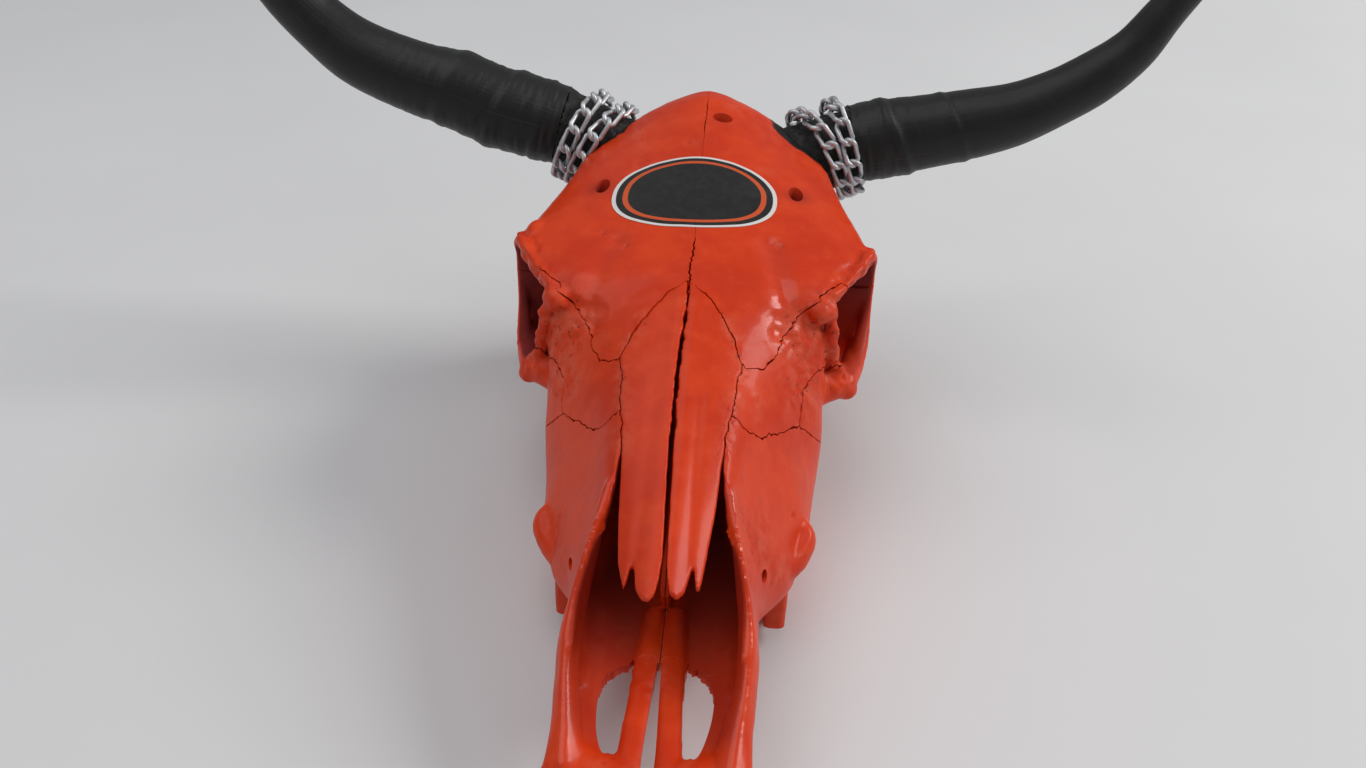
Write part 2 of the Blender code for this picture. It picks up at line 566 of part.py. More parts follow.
def sheath(name, side):
    """A horn: rings along its middle line, thickened where it stopped growing for a winter."""
    table = np.asarray(SHEATH[side], float)
    way = np.r_[0, np.cumsum(np.linalg.norm(np.diff(table[:, :3], axis=0), axis=1))]
    bands = [c + w * k for c, _, w, _ in GROWTH_RINGS[side] for k in (-2.4, -1.2, 0, 1.2, 2.4)]
    at = np.unique(np.r_[np.linspace(0, way[-1], 17), np.clip(bands, 0, None)])
    rows = smooth(np.column_stack([way, table]), at)
    ahead = np.gradient(rows[:, :3], at, axis=0)
    ahead /= np.linalg.norm(ahead, axis=1)[:, None]
    level = np.cross(ahead, (0, 1, 0))
    level /= np.linalg.norm(level, axis=1)[:, None]
    third = np.cross(level, ahead)
    angle = np.linspace(0, 2 * math.pi, 14, endpoint=False)[:, None]
    ring = np.cos(angle) * level[:, None] + np.sin(angle) * third[:, None]
    upper = ring @ (0, 0.56, 0.83)
    bumps = sum(h * np.exp(-((at[:, None] - c + lean * upper) / w) ** 2) for c, h, w, lean in GROWTH_RINGS[side])
    return skin(name, rows[:, None, :3] + ring * (rows[:, 3:] / 2 + bumps - 0.6)[..., None])


def link(centre, ahead, wide, length, ends=3, around=4):
    """One chain link: round wire along a stadium-shaped loop."""
    half = (length - LINK_WIDTH) / 2
    bend = (LINK_WIDTH - WIRE) / 2
    turn = np.linspace(-math.pi / 2, math.pi / 2, ends)
    turn = np.r_[turn, turn + math.pi]
    out = np.column_stack([np.cos(turn), np.sin(turn)])
    loop = bend * out + np.column_stack([np.repeat([half, -half], ends), np.zeros(2 * ends)])
    frame = np.array([ahead, wide])
    section = np.linspace(0, 2 * math.pi, around, endpoint=False)[None, :, None]
    rings = centre + (loop @ frame)[:, None] + WIRE / 2 * (
        np.cos(section) * (out @ frame)[:, None] + np.sin(section) * np.cross(ahead, wide)
    )
    i, j = np.meshgrid(np.arange(2 * ends), np.arange(around), indexing="ij")
    k, m = (i + 1) % (2 * ends), (j + 1) % around
    faces = np.stack([i * around + j, i * around + m, k * around + m, k * around + j], -1)
    return mesh_object("link", rings.reshape(-1, 3), faces.reshape(-1, 4).tolist())


def winding(side, count):
    """Points on the chain's way round the horn's root, and the root's middle beside each of them."""
    start, end = np.asarray(ROOT[side], float)[[0, -1]]
    ahead = (end - start) / np.linalg.norm(end - start)
    rise = np.array([0, 0, 1]) - ahead * ahead[2]
    rise /= np.linalg.norm(rise)
    front = np.array([0, -1, 0]) + ahead * ahead[1]
    front /= np.linalg.norm(front)
    angle = np.linspace(0, 720, 2000)
    turn = np.radians(angle - 180)[:, None]
    middle = start + ahead * smooth(WINDING[side], angle)
    path = middle + CHAIN_RADIUS * (np.cos(turn) * rise + np.sin(turn) * front)
    way = np.r_[0, np.cumsum(np.linalg.norm(np.diff(path, axis=0), axis=1))]
    at = np.linspace(0, way[-1], count)
    pick = np.searchsorted(way, at).clip(0, 1999)
    return path[pick], middle[pick]


def chain(name, side):
    """Links in a row along the winding, each turned a quarter from the one before, fused where they touch."""
    path, middle = winding(side, LINKS)
    length = np.linalg.norm(np.diff(path, axis=0), axis=1).mean() + 2 * WIRE - 0.25
    whole = None
    for k in range(LINKS):
        before, after = path[max(k - 1, 0)], path[min(k + 1, LINKS - 1)]
        ahead = (after - before) / np.linalg.norm(after - before)
        out = path[k] - middle[k]
        out -= ahead * (out @ ahead)
        out /= np.linalg.norm(out)
        side_way = np.cross(ahead, out)
        lean = math.radians(45 if k % 2 else -45)
        ring = link(path[k], ahead, math.cos(lean) * side_way + math.sin(lean) * out, length)
        whole = combine(whole, ring, "UNION") if whole else ring
    whole.name = name
    return whole


def material(name, colour, roughness, metallic=0.0, coat=0.0):
    made = bpy.data.materials.new(name)
    made.use_nodes = True
    shader = made.node_tree.nodes["Principled BSDF"]
    shader.inputs["Base Color"].default_value = (*colour, 1)
    shader.inputs["Roughness"].default_value = roughness
    shader.inputs["Metallic"].default_value = metallic
    shader.inputs["Coat Weight"].default_value = coat
    made.diffuse_color = (*colour, 1)
    return made


def finish(obj, name, *look):
    obj.name = obj.data.name = name
    obj.data.materials.clear()
    obj.data.materials.append(material(name, *look))


def stand_on_origin():
    """Moves everything so that the bottom of the model's box is centred on the origin."""
    objects = list(bpy.data.objects)
    corners = np.array([obj.bound_box for obj in objects]).reshape(-1, 3)
    low, high = corners.min(axis=0), corners.max(axis=0)
    shift = Matrix.Translation((-(low[0] + high[0]) / 2, -(low[1] + high[1]) / 2, -low[2]))
    for obj in objects:
        obj.data.transform(shift)


def main():
    for obj in list(bpy.data.objects):
        bpy.data.objects.remove(obj)
    bone = skull_blank()
    bones = []
    for side, sign in SIDES.items():
        bones += [nasal(f"nasal_{side}", sign),
                  carve_out(bone, f"lacrimal_{side}", at_side(sign, LACRIMAL), (sign * 0.70, -0.25, 0.67), -26, 30),
                  carve_out(bone, f"zygomatic_{side}", ZYGOMATIC, (sign, 0, 0), 62, 140)]
    for side, sign in SIDES.items():
        bones += [carve_out(bone, f"premaxilla_{side}", PREMAXILLA, (sign, 0, 0), 0.15, 90),
                  carve_out(bone, f"frontal_{side}", FRONTAL, (sign, 0, 0), 0.15, 140),
                  carve_out(bone, f"temporal_{side}", at_side(sign, TEMPORAL), (0, 0, 1), 24, 128)]
    rng = np.random.default_rng(7)
    for side, sign in SIDES.items():
        maxilla = carve_out(bone, f"maxilla_{side}", at_side(sign, MAXILLA), (0, 0, 1), -5, 160)
        tooth_row(maxilla, sign, rng)
        bones.append(maxilla)
    bones += [carve_out(bone, "occipital", OCCIPITAL, (1, 0, 0), -130, 130), keep_largest(bone)]
    for piece in bones:
        finish(piece, piece.name, (0.62, 0.07, 0.02), 0.32, 0.0, 0.3)
    for side in SIDES:
        finish(horn_core(side), f"horn_core_{side}", (0.012, 0.011, 0.010), 0.7)
        finish(sheath("sheath", side), f"horn_{side}", (0.012, 0.011, 0.010), 0.4)
        finish(chain("chain", side), f"chain_{side}", (0.55, 0.56, 0.58), 0.35, 1.0)
    stand_on_origin()


main()
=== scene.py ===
# %% [markdown]
# A cow skull without its lower jaw, sprayed glossy red-orange, with its two horns painted black and a
# zinc chain wound twice round the foot of each horn. It lies on its cheek teeth.
# The lesson builds it from a few tables of measured points. They hold millimetres, with X across the
# skull, Y from the nose (-) to the poll (+) and Z up.
# This first cell loads the fixed frame that the finished pieces have to stay inside.

# %% Load the frame
import itertools
import math

import bmesh
import bpy
import numpy as np
from mathutils import Matrix, Vector


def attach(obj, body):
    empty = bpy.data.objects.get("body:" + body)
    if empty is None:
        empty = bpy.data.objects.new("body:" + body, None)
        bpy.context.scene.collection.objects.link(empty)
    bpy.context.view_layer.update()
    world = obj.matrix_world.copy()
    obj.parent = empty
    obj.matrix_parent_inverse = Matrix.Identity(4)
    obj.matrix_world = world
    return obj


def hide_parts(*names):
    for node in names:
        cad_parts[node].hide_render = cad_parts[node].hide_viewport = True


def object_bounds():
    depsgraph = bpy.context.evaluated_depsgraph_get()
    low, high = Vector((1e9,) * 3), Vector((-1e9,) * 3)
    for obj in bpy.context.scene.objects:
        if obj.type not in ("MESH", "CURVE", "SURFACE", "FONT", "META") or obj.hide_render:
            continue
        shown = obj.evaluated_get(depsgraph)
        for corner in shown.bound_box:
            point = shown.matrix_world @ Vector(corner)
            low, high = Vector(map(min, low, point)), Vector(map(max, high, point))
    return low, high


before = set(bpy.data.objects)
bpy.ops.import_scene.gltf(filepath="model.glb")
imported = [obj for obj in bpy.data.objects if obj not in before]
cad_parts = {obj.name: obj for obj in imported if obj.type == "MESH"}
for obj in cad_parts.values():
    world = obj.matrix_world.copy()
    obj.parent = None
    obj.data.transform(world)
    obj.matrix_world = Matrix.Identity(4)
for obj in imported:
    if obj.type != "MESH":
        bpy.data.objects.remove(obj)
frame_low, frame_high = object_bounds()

MM = 0.001
SHIFT = np.array([-0.2844, 18.4302, 0.0])  # from the skull's own middle to the frame's origin
SIDES = {"left": -1, "right": 1}
print("frame box in mm:", [round(v / MM, 1) for v in (*frame_low, *frame_high)])

# %% [markdown]
# The skull's shape comes from sections: flat outlines at a number of stations, as a boat is drawn.
# Each half section runs from the middle of the roof round the side to the middle of the palate, and
# it is mirrored. Sections suit a skull because its width and height change slowly along its length.

# %% Tables of the skull's sections
ROOF_LINE = [(-195, 109), (-150, 123), (-120, 133), (-82, 147), (-45, 160), (-8, 172), (20, 179),
             (60, 188), (100, 196), (150, 207), (185, 217), (200, 215)]
FACE = {
    -200: [(0, 106), (20, 102), (35, 88), (43, 70), (45, 50), (34, 40), (0, 42)],
    -175: [(0, 115), (24, 110), (39, 94), (47, 72), (48, 50), (38, 39), (0, 42)],
    -148: [(0, 123), (27, 117), (41, 97), (49.5, 70), (50, 47), (41, 38), (0, 43)],
    -122: [(0, 132), (28, 126), (44, 102), (61, 68), (65.5, 42), (48, 33), (0, 45)],
    -106: [(0, 138), (29, 132), (47, 105), (68, 62), (68, 31), (45, 25), (0, 46)],
    -91: [(0, 143), (30, 137), (51, 108), (74, 62), (70, 27), (45, 22), (0, 47)],
    -60: [(0, 154), (33, 147), (58, 121), (79, 70), (73, 26), (45, 20), (0, 48)],
    -30: [(0, 165), (40, 157), (68, 134), (84, 88), (73, 28), (44, 21), (0, 50)],
    -4: [(0, 172), (52, 164), (80, 146), (80, 104), (67, 34), (41, 26), (0, 52)],
    14: [(0, 172), (52, 162), (70, 142), (66, 104), (59, 46), (37, 36), (0, 56)],
}
CAVITY = {
    -215: [(0, 125), (24, 120), (38, 96), (40, 64), (31, 47), (0, 46)],
    -175: [(0, 122), (24, 116), (39, 92), (40, 64), (32, 47), (0, 46)],
    -140: [(0, 120), (25, 113), (40, 90), (43, 64), (35, 48), (0, 47)],
    -105: [(0, 136), (25, 131), (42, 102), (48, 70), (37, 52), (0, 50)],
    -60: [(0, 151), (28, 143), (46, 114), (50, 82), (34, 58), (0, 55)],
    -20: [(0, 156), (22, 146), (36, 118), (40, 88), (26, 62), (0, 58)],
    8: [(0, 112), (12, 108), (20, 96), (20, 80), (14, 68), (0, 64)],
}
# Y, half width, height in the middle, height at the edge, underside
FOREHEAD = [(-24, 46, 166, 156, 136), (0, 84, 174, 165, 140), (20, 97, 179, 168, 144),
            (46, 109, 185, 169, 150), (66, 105, 189, 172, 150), (95, 97, 195, 175, 150),
            (130, 90, 203, 178, 150), (165, 82, 211, 181, 150), (190, 66, 216, 184, 150),
            (203, 46, 213, 186, 160), (209, 24, 204, 188, 170)]
# Y, half width, top, bottom
BRAINCASE = [(8, 22, 150, 66), (35, 32, 160, 68), (70, 50, 168, 66), (110, 62, 174, 64),
             (150, 66, 178, 62), (182, 60, 180, 66)]
# Half of the outline from behind, and how much of it each Y keeps
NAPE_OUTLINE = [(0, 210), (36, 202), (62, 186), (62, 158), (74, 128), (92, 104), (88, 84), (60, 74), (0, 70)]
NAPE_DEPTHS = [(150, 0.80), (166, 0.97), (182, 1.0), (192, 0.93), (199, 0.76), (203, 0.45)]
print("sections:", len(FACE), "face,", len(CAVITY), "nasal cavity,", len(FOREHEAD), "forehead")

# %% [markdown]
# Between the stations every number follows one smooth curve. A cubic with matching slopes at the
# stations passes through each measured point and never kinks, which straight lines would do.

# %% Curves through measured points
def smooth(knots, at):
    """The curve through the knots, whose first column is the parameter, at the wanted parameters.

    Between two knots it blends their values and slopes with the four cubic weights of Hermite."""
    knots = np.asarray(knots, float)
    t, values = knots[:, 0], knots[:, 1:]
    slopes = np.gradient(values, t, axis=0)
    at = np.clip(np.atleast_1d(np.asarray(at, float)), t[0], t[-1])
    i = np.clip(np.searchsorted(t, at, side="right") - 1, 0, len(t) - 2)
    step = (t[i + 1] - t[i])[:, None]
    s = ((at - t[i]) / step[:, 0])[:, None]
    return (
        (2 * s**3 - 3 * s**2 + 1) * values[i]
        + (s**3 - 2 * s**2 + s) * step * slopes[i]
        + (3 * s**2 - 2 * s**3) * values[i + 1]
        + (s**3 - s**2) * step * slopes[i + 1]
    )


def along(points, count):
    """Points spread evenly on the smooth curve through a few given ones."""
    points = np.asarray(points, float)
    steps = np.linalg.norm(np.diff(points, axis=0), axis=1)
    knots = np.column_stack([np.r_[0, np.cumsum(steps)], points])
    return smooth(knots, np.linspace(0, knots[-1, 0], count))


def closed_ring(points, count):
    """A smooth closed ring through the points at many stations at once, as a Catmull-Rom curve."""
    points = np.asarray(points, float)
    t = np.linspace(0, points.shape[-2], count, endpoint=False)
    i, s = t.astype(int), (t % 1)[:, None]
    p = [points[..., (i + k) % points.shape[-2], :] for k in (-1, 0, 1, 2)]
    return 0.5 * (
        2 * p[1] + (p[2] - p[0]) * s
        + (2 * p[0] - 5 * p[1] + 4 * p[2] - p[3]) * s**2
        + (3 * p[1] - p[0] - 3 * p[2] + p[3]) * s**3
    )


print("roof height at the nasals' back end:", round(float(smooth(ROOF_LINE, -8)[0, 0]), 1), "mm")

# %% [markdown]
# A mesh is only points and faces. Rings of points, each joined to the next, make a closed skin once
# both ends are filled, and nearly every shape here is such a skin.

# %% From rings of points to a mesh
def mesh_object(name, points, faces):
    """A mesh from points in the skull's millimetres, moved to the frame and turned to face outwards."""
    mesh = bpy.data.meshes.new(name)
    mesh.from_pydata(((np.asarray(points, float) + SHIFT) * MM).tolist(), [], faces)
    obj = bpy.data.objects.new(name, mesh)
    bpy.context.scene.collection.objects.link(obj)
    work = bmesh.new()
    work.from_mesh(mesh)
    bmesh.ops.recalc_face_normals(work, faces=work.faces)
    work.to_mesh(mesh)
    work.free()
    return obj


def ring_faces(rows, around, closed=False):
    """The four-sided faces between neighbouring rows of points, where each row is a ring."""
    i, j = np.meshgrid(np.arange(rows if closed else rows - 1), np.arange(around), indexing="ij")
    below, side = (i + 1) % rows, (j + 1) % around
    corners = [i * around + j, i * around + side, below * around + side, below * around + j]
    return np.stack(corners, -1).reshape(-1, 4)


def skin(name, rings):
    """A closed solid over rings of points, with both ends filled."""
    rings = np.asarray(rings, float)
    rows, around = rings.shape[:2]
    ends = [list(range(around)), list(range((rows - 1) * around, rows * around))]
    return mesh_object(name, rings.reshape(-1, 3), ring_faces(rows, around).tolist() + ends)


print("two rings of four points make", len(ring_faces(2, 4)), "faces")

# %% [markdown]
# Three kinds of rings make nearly every bone here: mirrored sections along Y, an oval carried along a
# path, and an egg. Each is worked out as one array of points, so a fine skin costs no more typing.

# %% Sections, rods and eggs
def section_loft(name, table, count=100, around=96):
    """A solid along Y: each half section is mirrored in X, smoothed along Y and rounded into a ring."""
    stations = sorted(table)
    half = np.array([table[y] for y in stations], float)
    full = np.concatenate([half, half[:, -2:0:-1] * (-1, 1)], axis=1)
    y = np.linspace(stations[0], stations[-1], count)
    flat = smooth(np.column_stack([stations, full.reshape(len(stations), -1)]), y)
    ring = closed_ring(flat.reshape(count, -1, 2), around)
    station = np.broadcast_to(y[:, None], ring.shape[:2])
    return skin(name, np.stack([ring[..., 0], station, ring[..., 1]], -1))


def tube(name, path, widths, heights, up=(0, 0, 1), count=50, around=28):
    """A rod along a path: centre + cos(angle) * side * width / 2 + sin(angle) * rise * height / 2."""
    centre = along(path, count)
    share, at = np.linspace(0, 1, len(path)), np.linspace(0, 1, count)
    width = smooth(np.column_stack([share, widths]), at)
    height = smooth(np.column_stack([share, heights]), at)
    ahead = np.gradient(centre, axis=0)
    ahead /= np.linalg.norm(ahead, axis=1)[:, None]
    side = np.cross(ahead, up)
    side /= np.linalg.norm(side, axis=1)[:, None]
    rise = np.cross(side, ahead)
    angle = np.linspace(0, 2 * math.pi, around, endpoint=False)[None, :, None]
    return skin(name, centre[:, None] + np.cos(angle) * (side * width / 2)[:, None]
                + np.sin(angle) * (rise * height / 2)[:, None])


def blob(name, centre, radii, count=28, around=36):
    """An egg along Y: centre + radii * (sin p cos a, -cos p, sin p sin a)."""
    polar = np.linspace(0.06, math.pi - 0.06, count)[:, None]
    angle = np.linspace(0, 2 * math.pi, around, endpoint=False)[None]
    x, z = np.sin(polar) * np.cos(angle), np.sin(polar) * np.sin(angle)
    return skin(name, np.asarray(centre) + np.stack([x, -np.cos(polar) + 0 * angle, z], -1) * radii)


def both(build):
    """The pieces that a function of the side makes for the left and the right."""
    return [piece for sign in SIDES.values() for piece in build(sign)]


def at_side(sign, points):
    return [(sign * x, y, z) for x, y, z in points]


print("helpers ready for", ", ".join(SIDES))

# %% [markdown]
# Forehead, braincase and nape are three more lofts over their own kinds of section.

# %% The big closed forms
def forehead():
    table = {}
    for y, wide, middle, edge, under in FOREHEAD:
        table[y] = [
            (0, middle), (0.45 * wide, 0.75 * middle + 0.25 * edge), (0.82 * wide, 0.3 * middle + 0.7 * edge),
            (wide, edge - 3), (wide - 4, edge - 12), (0.6 * wide, under), (0, under - 6),
        ]
    return section_loft("forehead", table)


def braincase():
    table = {}
    for y, wide, top, bottom in BRAINCASE:
        middle = (top + bottom) / 2
        table[y] = [(0, top), (0.8 * wide, top - 6), (wide, middle), (0.7 * wide, bottom + 10), (0, bottom)]
    return section_loft("braincase", table)


def nape():
    centre = 135
    table = {}
    for y, share in NAPE_DEPTHS:
        table[y] = [(share * x, centre + share * (z - centre)) for x, z in NAPE_OUTLINE]
    return section_loft("nape", table, count=40, around=96)


print("nape is", 2 * max(x for x, _ in NAPE_OUTLINE), "mm wide")

# %% [markdown]
# Smaller bones are rods and eggs laid into the big forms. The first ones lie below and behind: the
# ear, the joint with the neck, the processes that the skull rests on and the wings behind the palate.

# %% The ear, the throat and the jaw's end
def side_bones(sign):
    """The ear, the condyle, the processes and the wings behind the palate, on one side."""
    tuber = [(66, -84, 63), (75, -95, 58), (70, -108, 53), (60, -121, 50)]
    yield tube("facial_tuber", at_side(sign, tuber), [10, 12, 11, 8], [16, 16, 15, 12])
    ear = [(50, 130, 90), (76, 132, 94), (90, 132, 99)]
    yield tube("ear_tube", at_side(sign, ear), [22, 19, 15], [24, 20, 15])
    yield blob("condyle", (sign * 27, 196, 86), (19, 19, 22))
    hinge = [(56, 112, 98), (80, 108, 99), (96, 104, 99)]
    yield tube("jaw_hinge", at_side(sign, hinge), [30, 24, 16], [18, 14, 12])
    jugular = [(72, 166, 94), (66, 172, 62), (58, 172, 30), (52, 168, -16)]
    yield tube("jugular_process", at_side(sign, jugular), [30, 20, 15, 14], [24, 18, 16, 15], up=(0, 1, 0))
    yield blob("ear_bulla", (sign * 38, 132, 60), (12, 18, 19))
    spine = [(38, 126, 60), (37, 118, 48), (36, 114, 36)]
    yield tube("ear_spine", at_side(sign, spine), [14, 9, 6], [18, 11, 6])
    wing = [(20, 0, 60), (20, 30, 57), (20, 58, 54), (22, 92, 66)]
    yield tube("throat_wing", at_side(sign, wing), [9, 8, 8, 12], [44, 50, 46, 22])
    hook = [(20, 52, 44), (21, 60, 31), (21, 66, 24)]
    yield tube("wing_hook", at_side(sign, hook), [8, 8, 6], [12, 9, 6], up=(0, 1, 0))
    swelling = [(58, -8, 62), (56, 10, 60), (52, 24, 58)]
    yield tube("jaw_swelling", at_side(sign, swelling), [30, 26, 16], [44, 38, 26])
    wall = [(36, 6, 118), (40, 30, 118), (44, 62, 116)]
    yield tube("eye_wall", at_side(sign, wall), [26, 22, 26], [60, 60, 56])


print("bones of the ear, the throat and the jaw's end named")

# %% [markdown]
# The rim of the eye socket is one rod bent into a loop. A shelf under the brow and a thin plate
# behind the eye close it, and the cheek arch runs from the upper jaw back to the ear. On this skull
# the left brow bulges, so that egg is only on one side.

# %% The eye socket and the cheek
def orbit_bones(sign):
    """The rim round the eye socket, the plate behind it and the cheek arch."""
    inner = 3 if sign < 0 else 0
    rim = [(84 - inner, -2, 163), (97 - inner, 18, 166), (110, 45, 167), (112.5, 56, 150), (112.5, 54, 126),
           (108, 30, 107), (99, 2, 103), (90, -6, 120), (86, -8, 142), (84 - inner, -2, 163)]
    yield tube("orbit_rim", at_side(sign, rim), [6, 5, 7, 7, 7, 9, 12, 7, 6, 6],
               [6, 6, 7, 7, 7, 10, 12, 8, 7, 6], up=(sign * 1, 0.2, 0.1), count=110)
    yield blob("brow_corner", (sign * 77, -4, 156), (9, 12, 8))
    shelf = [(72, 0, 161), (84, 22, 165.5), (98, 50, 167.5)]
    yield tube("brow_shelf", at_side(sign, shelf), [15, 17, 18], [6, 6, 7], count=30)
    if sign < 0:
        yield blob("brow_bulge", (-100.5, 57, 166), (8, 14, 8))
    plate = [(93, 57, 167), (94.5, 58, 144), (94.5, 58, 120), (97, 52, 84)]
    yield tube("eye_plate", at_side(sign, plate), [42, 43, 42, 30], [8, 8, 8, 9], up=(sign * 0.15, 1, 0))
    yield blob("cheek_corner", (sign * 99, 0, 98), (7.5, 9, 6))
    yield blob("cheek_body", (sign * 86, 2, 105), (14, 17, 10))
    cheek = [(60, -64, 78), (67, -36, 90), (75, -18, 99), (97, 0, 102), (104, 26, 101), (108, 62, 97),
             (105, 98, 101), (84, 134, 106)]
    yield tube("cheek_arch", at_side(sign, cheek), [14, 14, 14, 15, 11, 10, 10, 18],
               [22, 18, 16, 15, 18, 18, 16, 22], count=80)


print("bones of the eye and the cheek named")

# %% [markdown]
# The muzzle is light: an outer bar with a crest, a low shelf that ends in a toothless plate, and a
# thin inner bar beside the middle. Thin scrolls of bone fill the back of the nose. The hollows are
# rods too, and a Boolean will take them out of the skull.

# %% The muzzle and the hollows
def muzzle_bones(sign):
    """The outer bar with its ridge, the toothless plate and the inner bar."""
    ridge = [(31.5, -128, 117), (35, -146, 103), (39, -160, 90), (42, -172, 78), (44, -186, 68),
             (43, -206, 58), (40, -228, 52), (38, -246, 48)]
    yield tube("muzzle_bar", at_side(sign, ridge), [3, 4, 6, 8, 11, 12, 15, 20],
               [8, 14, 18, 22, 24, 22, 16, 12], count=90)
    shelf = [(40, -170, 45), (39, -190, 45), (36, -212, 45), (33, -232, 45), (31, -246, 45)]
    yield tube("muzzle_shelf", at_side(sign, shelf), [22, 21, 20, 25, 30], [9, 8, 8, 10, 11])
    yield tube("muzzle_plate", at_side(sign, [(40, -236, 47), (26, -246, 46), (12, -246, 45)]), [20, 26, 20],
               [13, 12, 10])
    yield blob("muzzle_pad", (sign * 33, -250, 46), (17, 13, 6.5))
    bar = [(9.5, -246, 45), (8, -215, 46), (6.5, -180, 47), (6, -146, 49)]
    yield tube("inner_bar", at_side(sign, bar), [14, 13, 13, 9], [8, 7, 6, 6], count=80)


def inner_bones(sign):
    """The scrolls of thin bone that fill the back of the nose, seen only as dark forms."""
    yield blob("scroll_above", (sign * 17, -38, 122), (11, 52, 17))
    yield blob("scroll_below", (sign * 19, -46, 84), (12, 54, 17))


def carvings(sign):
    """The eye socket and the ear hole."""
    socket = [(142, 14, 136), (112, 22, 135), (88, 28, 132), (64, 38, 126), (46, 46, 122)]
    yield tube("socket", at_side(sign, socket), [50, 50, 46, 36, 16], [50, 50, 46, 38, 18], around=48)
    yield tube("ear_hole", at_side(sign, [(74, 133, 95), (100, 131, 101)]), [6, 8], [6, 8])


print("bone rods named; the muzzle bar is", round(np.hypot(246 - 132, 84 - 48)), "mm long")

# %% [markdown]
# Real bone has no seams between a rod and the form it grows from. Blender's voxel remesh rebuilds
# everything as one skin on a fine grid, and a short smoothing takes the grid's steps away. Booleans
# then cut clean edges. Subdividing a hand-made cage would take far more points for the same forms.

# %% Fusing, cutting and smoothing
def applied(obj):
    """Makes what the modifiers show the object's own mesh."""
    mesh = bpy.data.meshes.new_from_object(obj.evaluated_get(bpy.context.evaluated_depsgraph_get()))
    obj.modifiers.clear()
    obj.data = mesh
    return obj


def join(name, pieces):
    """One object that holds all the pieces' shells."""
    work = bmesh.new()
    for piece in pieces:
        work.from_mesh(piece.data)
        bpy.data.objects.remove(piece)
    mesh = bpy.data.meshes.new(name)
    work.to_mesh(mesh)
    work.free()
    obj = bpy.data.objects.new(name, mesh)
    bpy.context.scene.collection.objects.link(obj)
    return obj


def voxel_fuse(obj, size):
    fuse = obj.modifiers.new("fuse", "REMESH")
    fuse.mode, fuse.voxel_size = "VOXEL", size * MM
    return applied(obj)


def combine(obj, other, operation="DIFFERENCE"):
    """A Boolean of two closed solids. The second one is used up."""
    change = obj.modifiers.new("combine", "BOOLEAN")
    change.operation, change.solver, change.object = operation, "MANIFOLD", other
    applied(obj)
    bpy.data.objects.remove(other)
    return obj


def relax(obj, factor, repeat):
    even = obj.modifiers.new("even", "SMOOTH")
    even.factor, even.iterations = factor, repeat
    return applied(obj)


def copy_of(obj, name):
    twin = bpy.data.objects.new(name, obj.data.copy())
    bpy.context.scene.collection.objects.link(twin)
    return twin


VOXEL = 1.35
print("voxel size:", VOXEL, "mm")

# %% [markdown]
# Numpy reads and writes all the points of a mesh in one go. With the points and their normals as
# arrays, a relief is one line: each point moves along its normal by the height of the relief there.

# %% Reading and moving all points at once
LATTICE = 32


def points_of(obj):
    """The mesh's points in the skull's millimetres, and their normals."""
    mesh = obj.data
    points, normals = np.empty(3 * len(mesh.vertices)), np.empty(3 * len(mesh.vertices))
    mesh.vertices.foreach_get("co", points)
    mesh.vertex_normals.foreach_get("vector", normals)
    return points.reshape(-1, 3) / MM - SHIFT, normals.reshape(-1, 3)


def set_points(obj, points):
    obj.data.vertices.foreach_set("co", ((points + SHIFT) * MM).ravel())
    obj.data.update()


def noise(points, size, seed):
    """Smooth random values from -1 to 1: a lattice of random numbers, blended by the place in the cell.

    The weight of a corner is the product over the axes of 3 f^2 - 2 f^3, where f is the nearness."""
    lattice = np.random.default_rng(seed).uniform(-1, 1, (LATTICE, LATTICE, LATTICE))
    cell = np.floor(points / size).astype(int)
    share = points / size - cell
    share = share * share * (3 - 2 * share)
    total = np.zeros(len(points))
    for corner in itertools.product((0, 1), repeat=3):
        weight = np.prod(np.where(np.array(corner) == 1, share, 1 - share), axis=1)
        total += weight * lattice[tuple(((cell + corner) % LATTICE).T)]
    return total


def near_path(points, path, reach):
    """1 on a path, falling to 0 beyond the reach: exp(-(distance / reach)^2)."""
    path = np.asarray(path, float)
    best = np.full(len(points), np.inf)
    for a, b in zip(path[:-1], path[1:]):
        share = np.clip((points - a) @ (b - a) / ((b - a) @ (b - a)), 0, 1)
        best = np.minimum(best, np.linalg.norm(points - a - share[:, None] * (b - a), axis=1))
    return np.exp(-(best / reach) ** 2)


def near_points(points, places, reach):
    """The strongest of exp(-(distance / reach)^2) over a few places."""
    places = np.asarray(places, float)
    return np.exp(-(np.linalg.norm(points[:, None] - places[None], axis=2).min(axis=1) / reach) ** 2)


print("noise repeats after", LATTICE, "cells")

# %% [markdown]
# Where the paint covers healthy bone the surface is smooth with slow swells. Beside the eye sockets,
# on the nape and where the horns start, the bone is rough and pitted, and the paint has blistered.
# One function of the place says how rough it is, and both the relief and the paint will use it.

# %% Where the bone is rough, and its relief
BROW_GROOVE = {
    1: ([(46, 34, 178), (50.1, 18.8, 175.1), (54.6, -4.4, 167.9), (56.9, -13.2, 159.7), (54.4, -24.1, 152.7)],
        2.6),
    -1: ([(-46, 30, 178), (-52, 12, 174), (-56, -6, 167), (-57, -16, 159), (-54, -26, 152)], 1.7),
}
PITS = [(-56.3, 37.7, 178.4), (-40.1, 23.7, 177.3), (53, 32.8, 177.9), (-10.8, 130.7, 202.4), (66, -96, 76)]
NASAL_SIDE = [(22, -31, 161), (33.5, -56, 148), (30, -83, 140), (28, -96, 135), (25.5, -112, 129)]

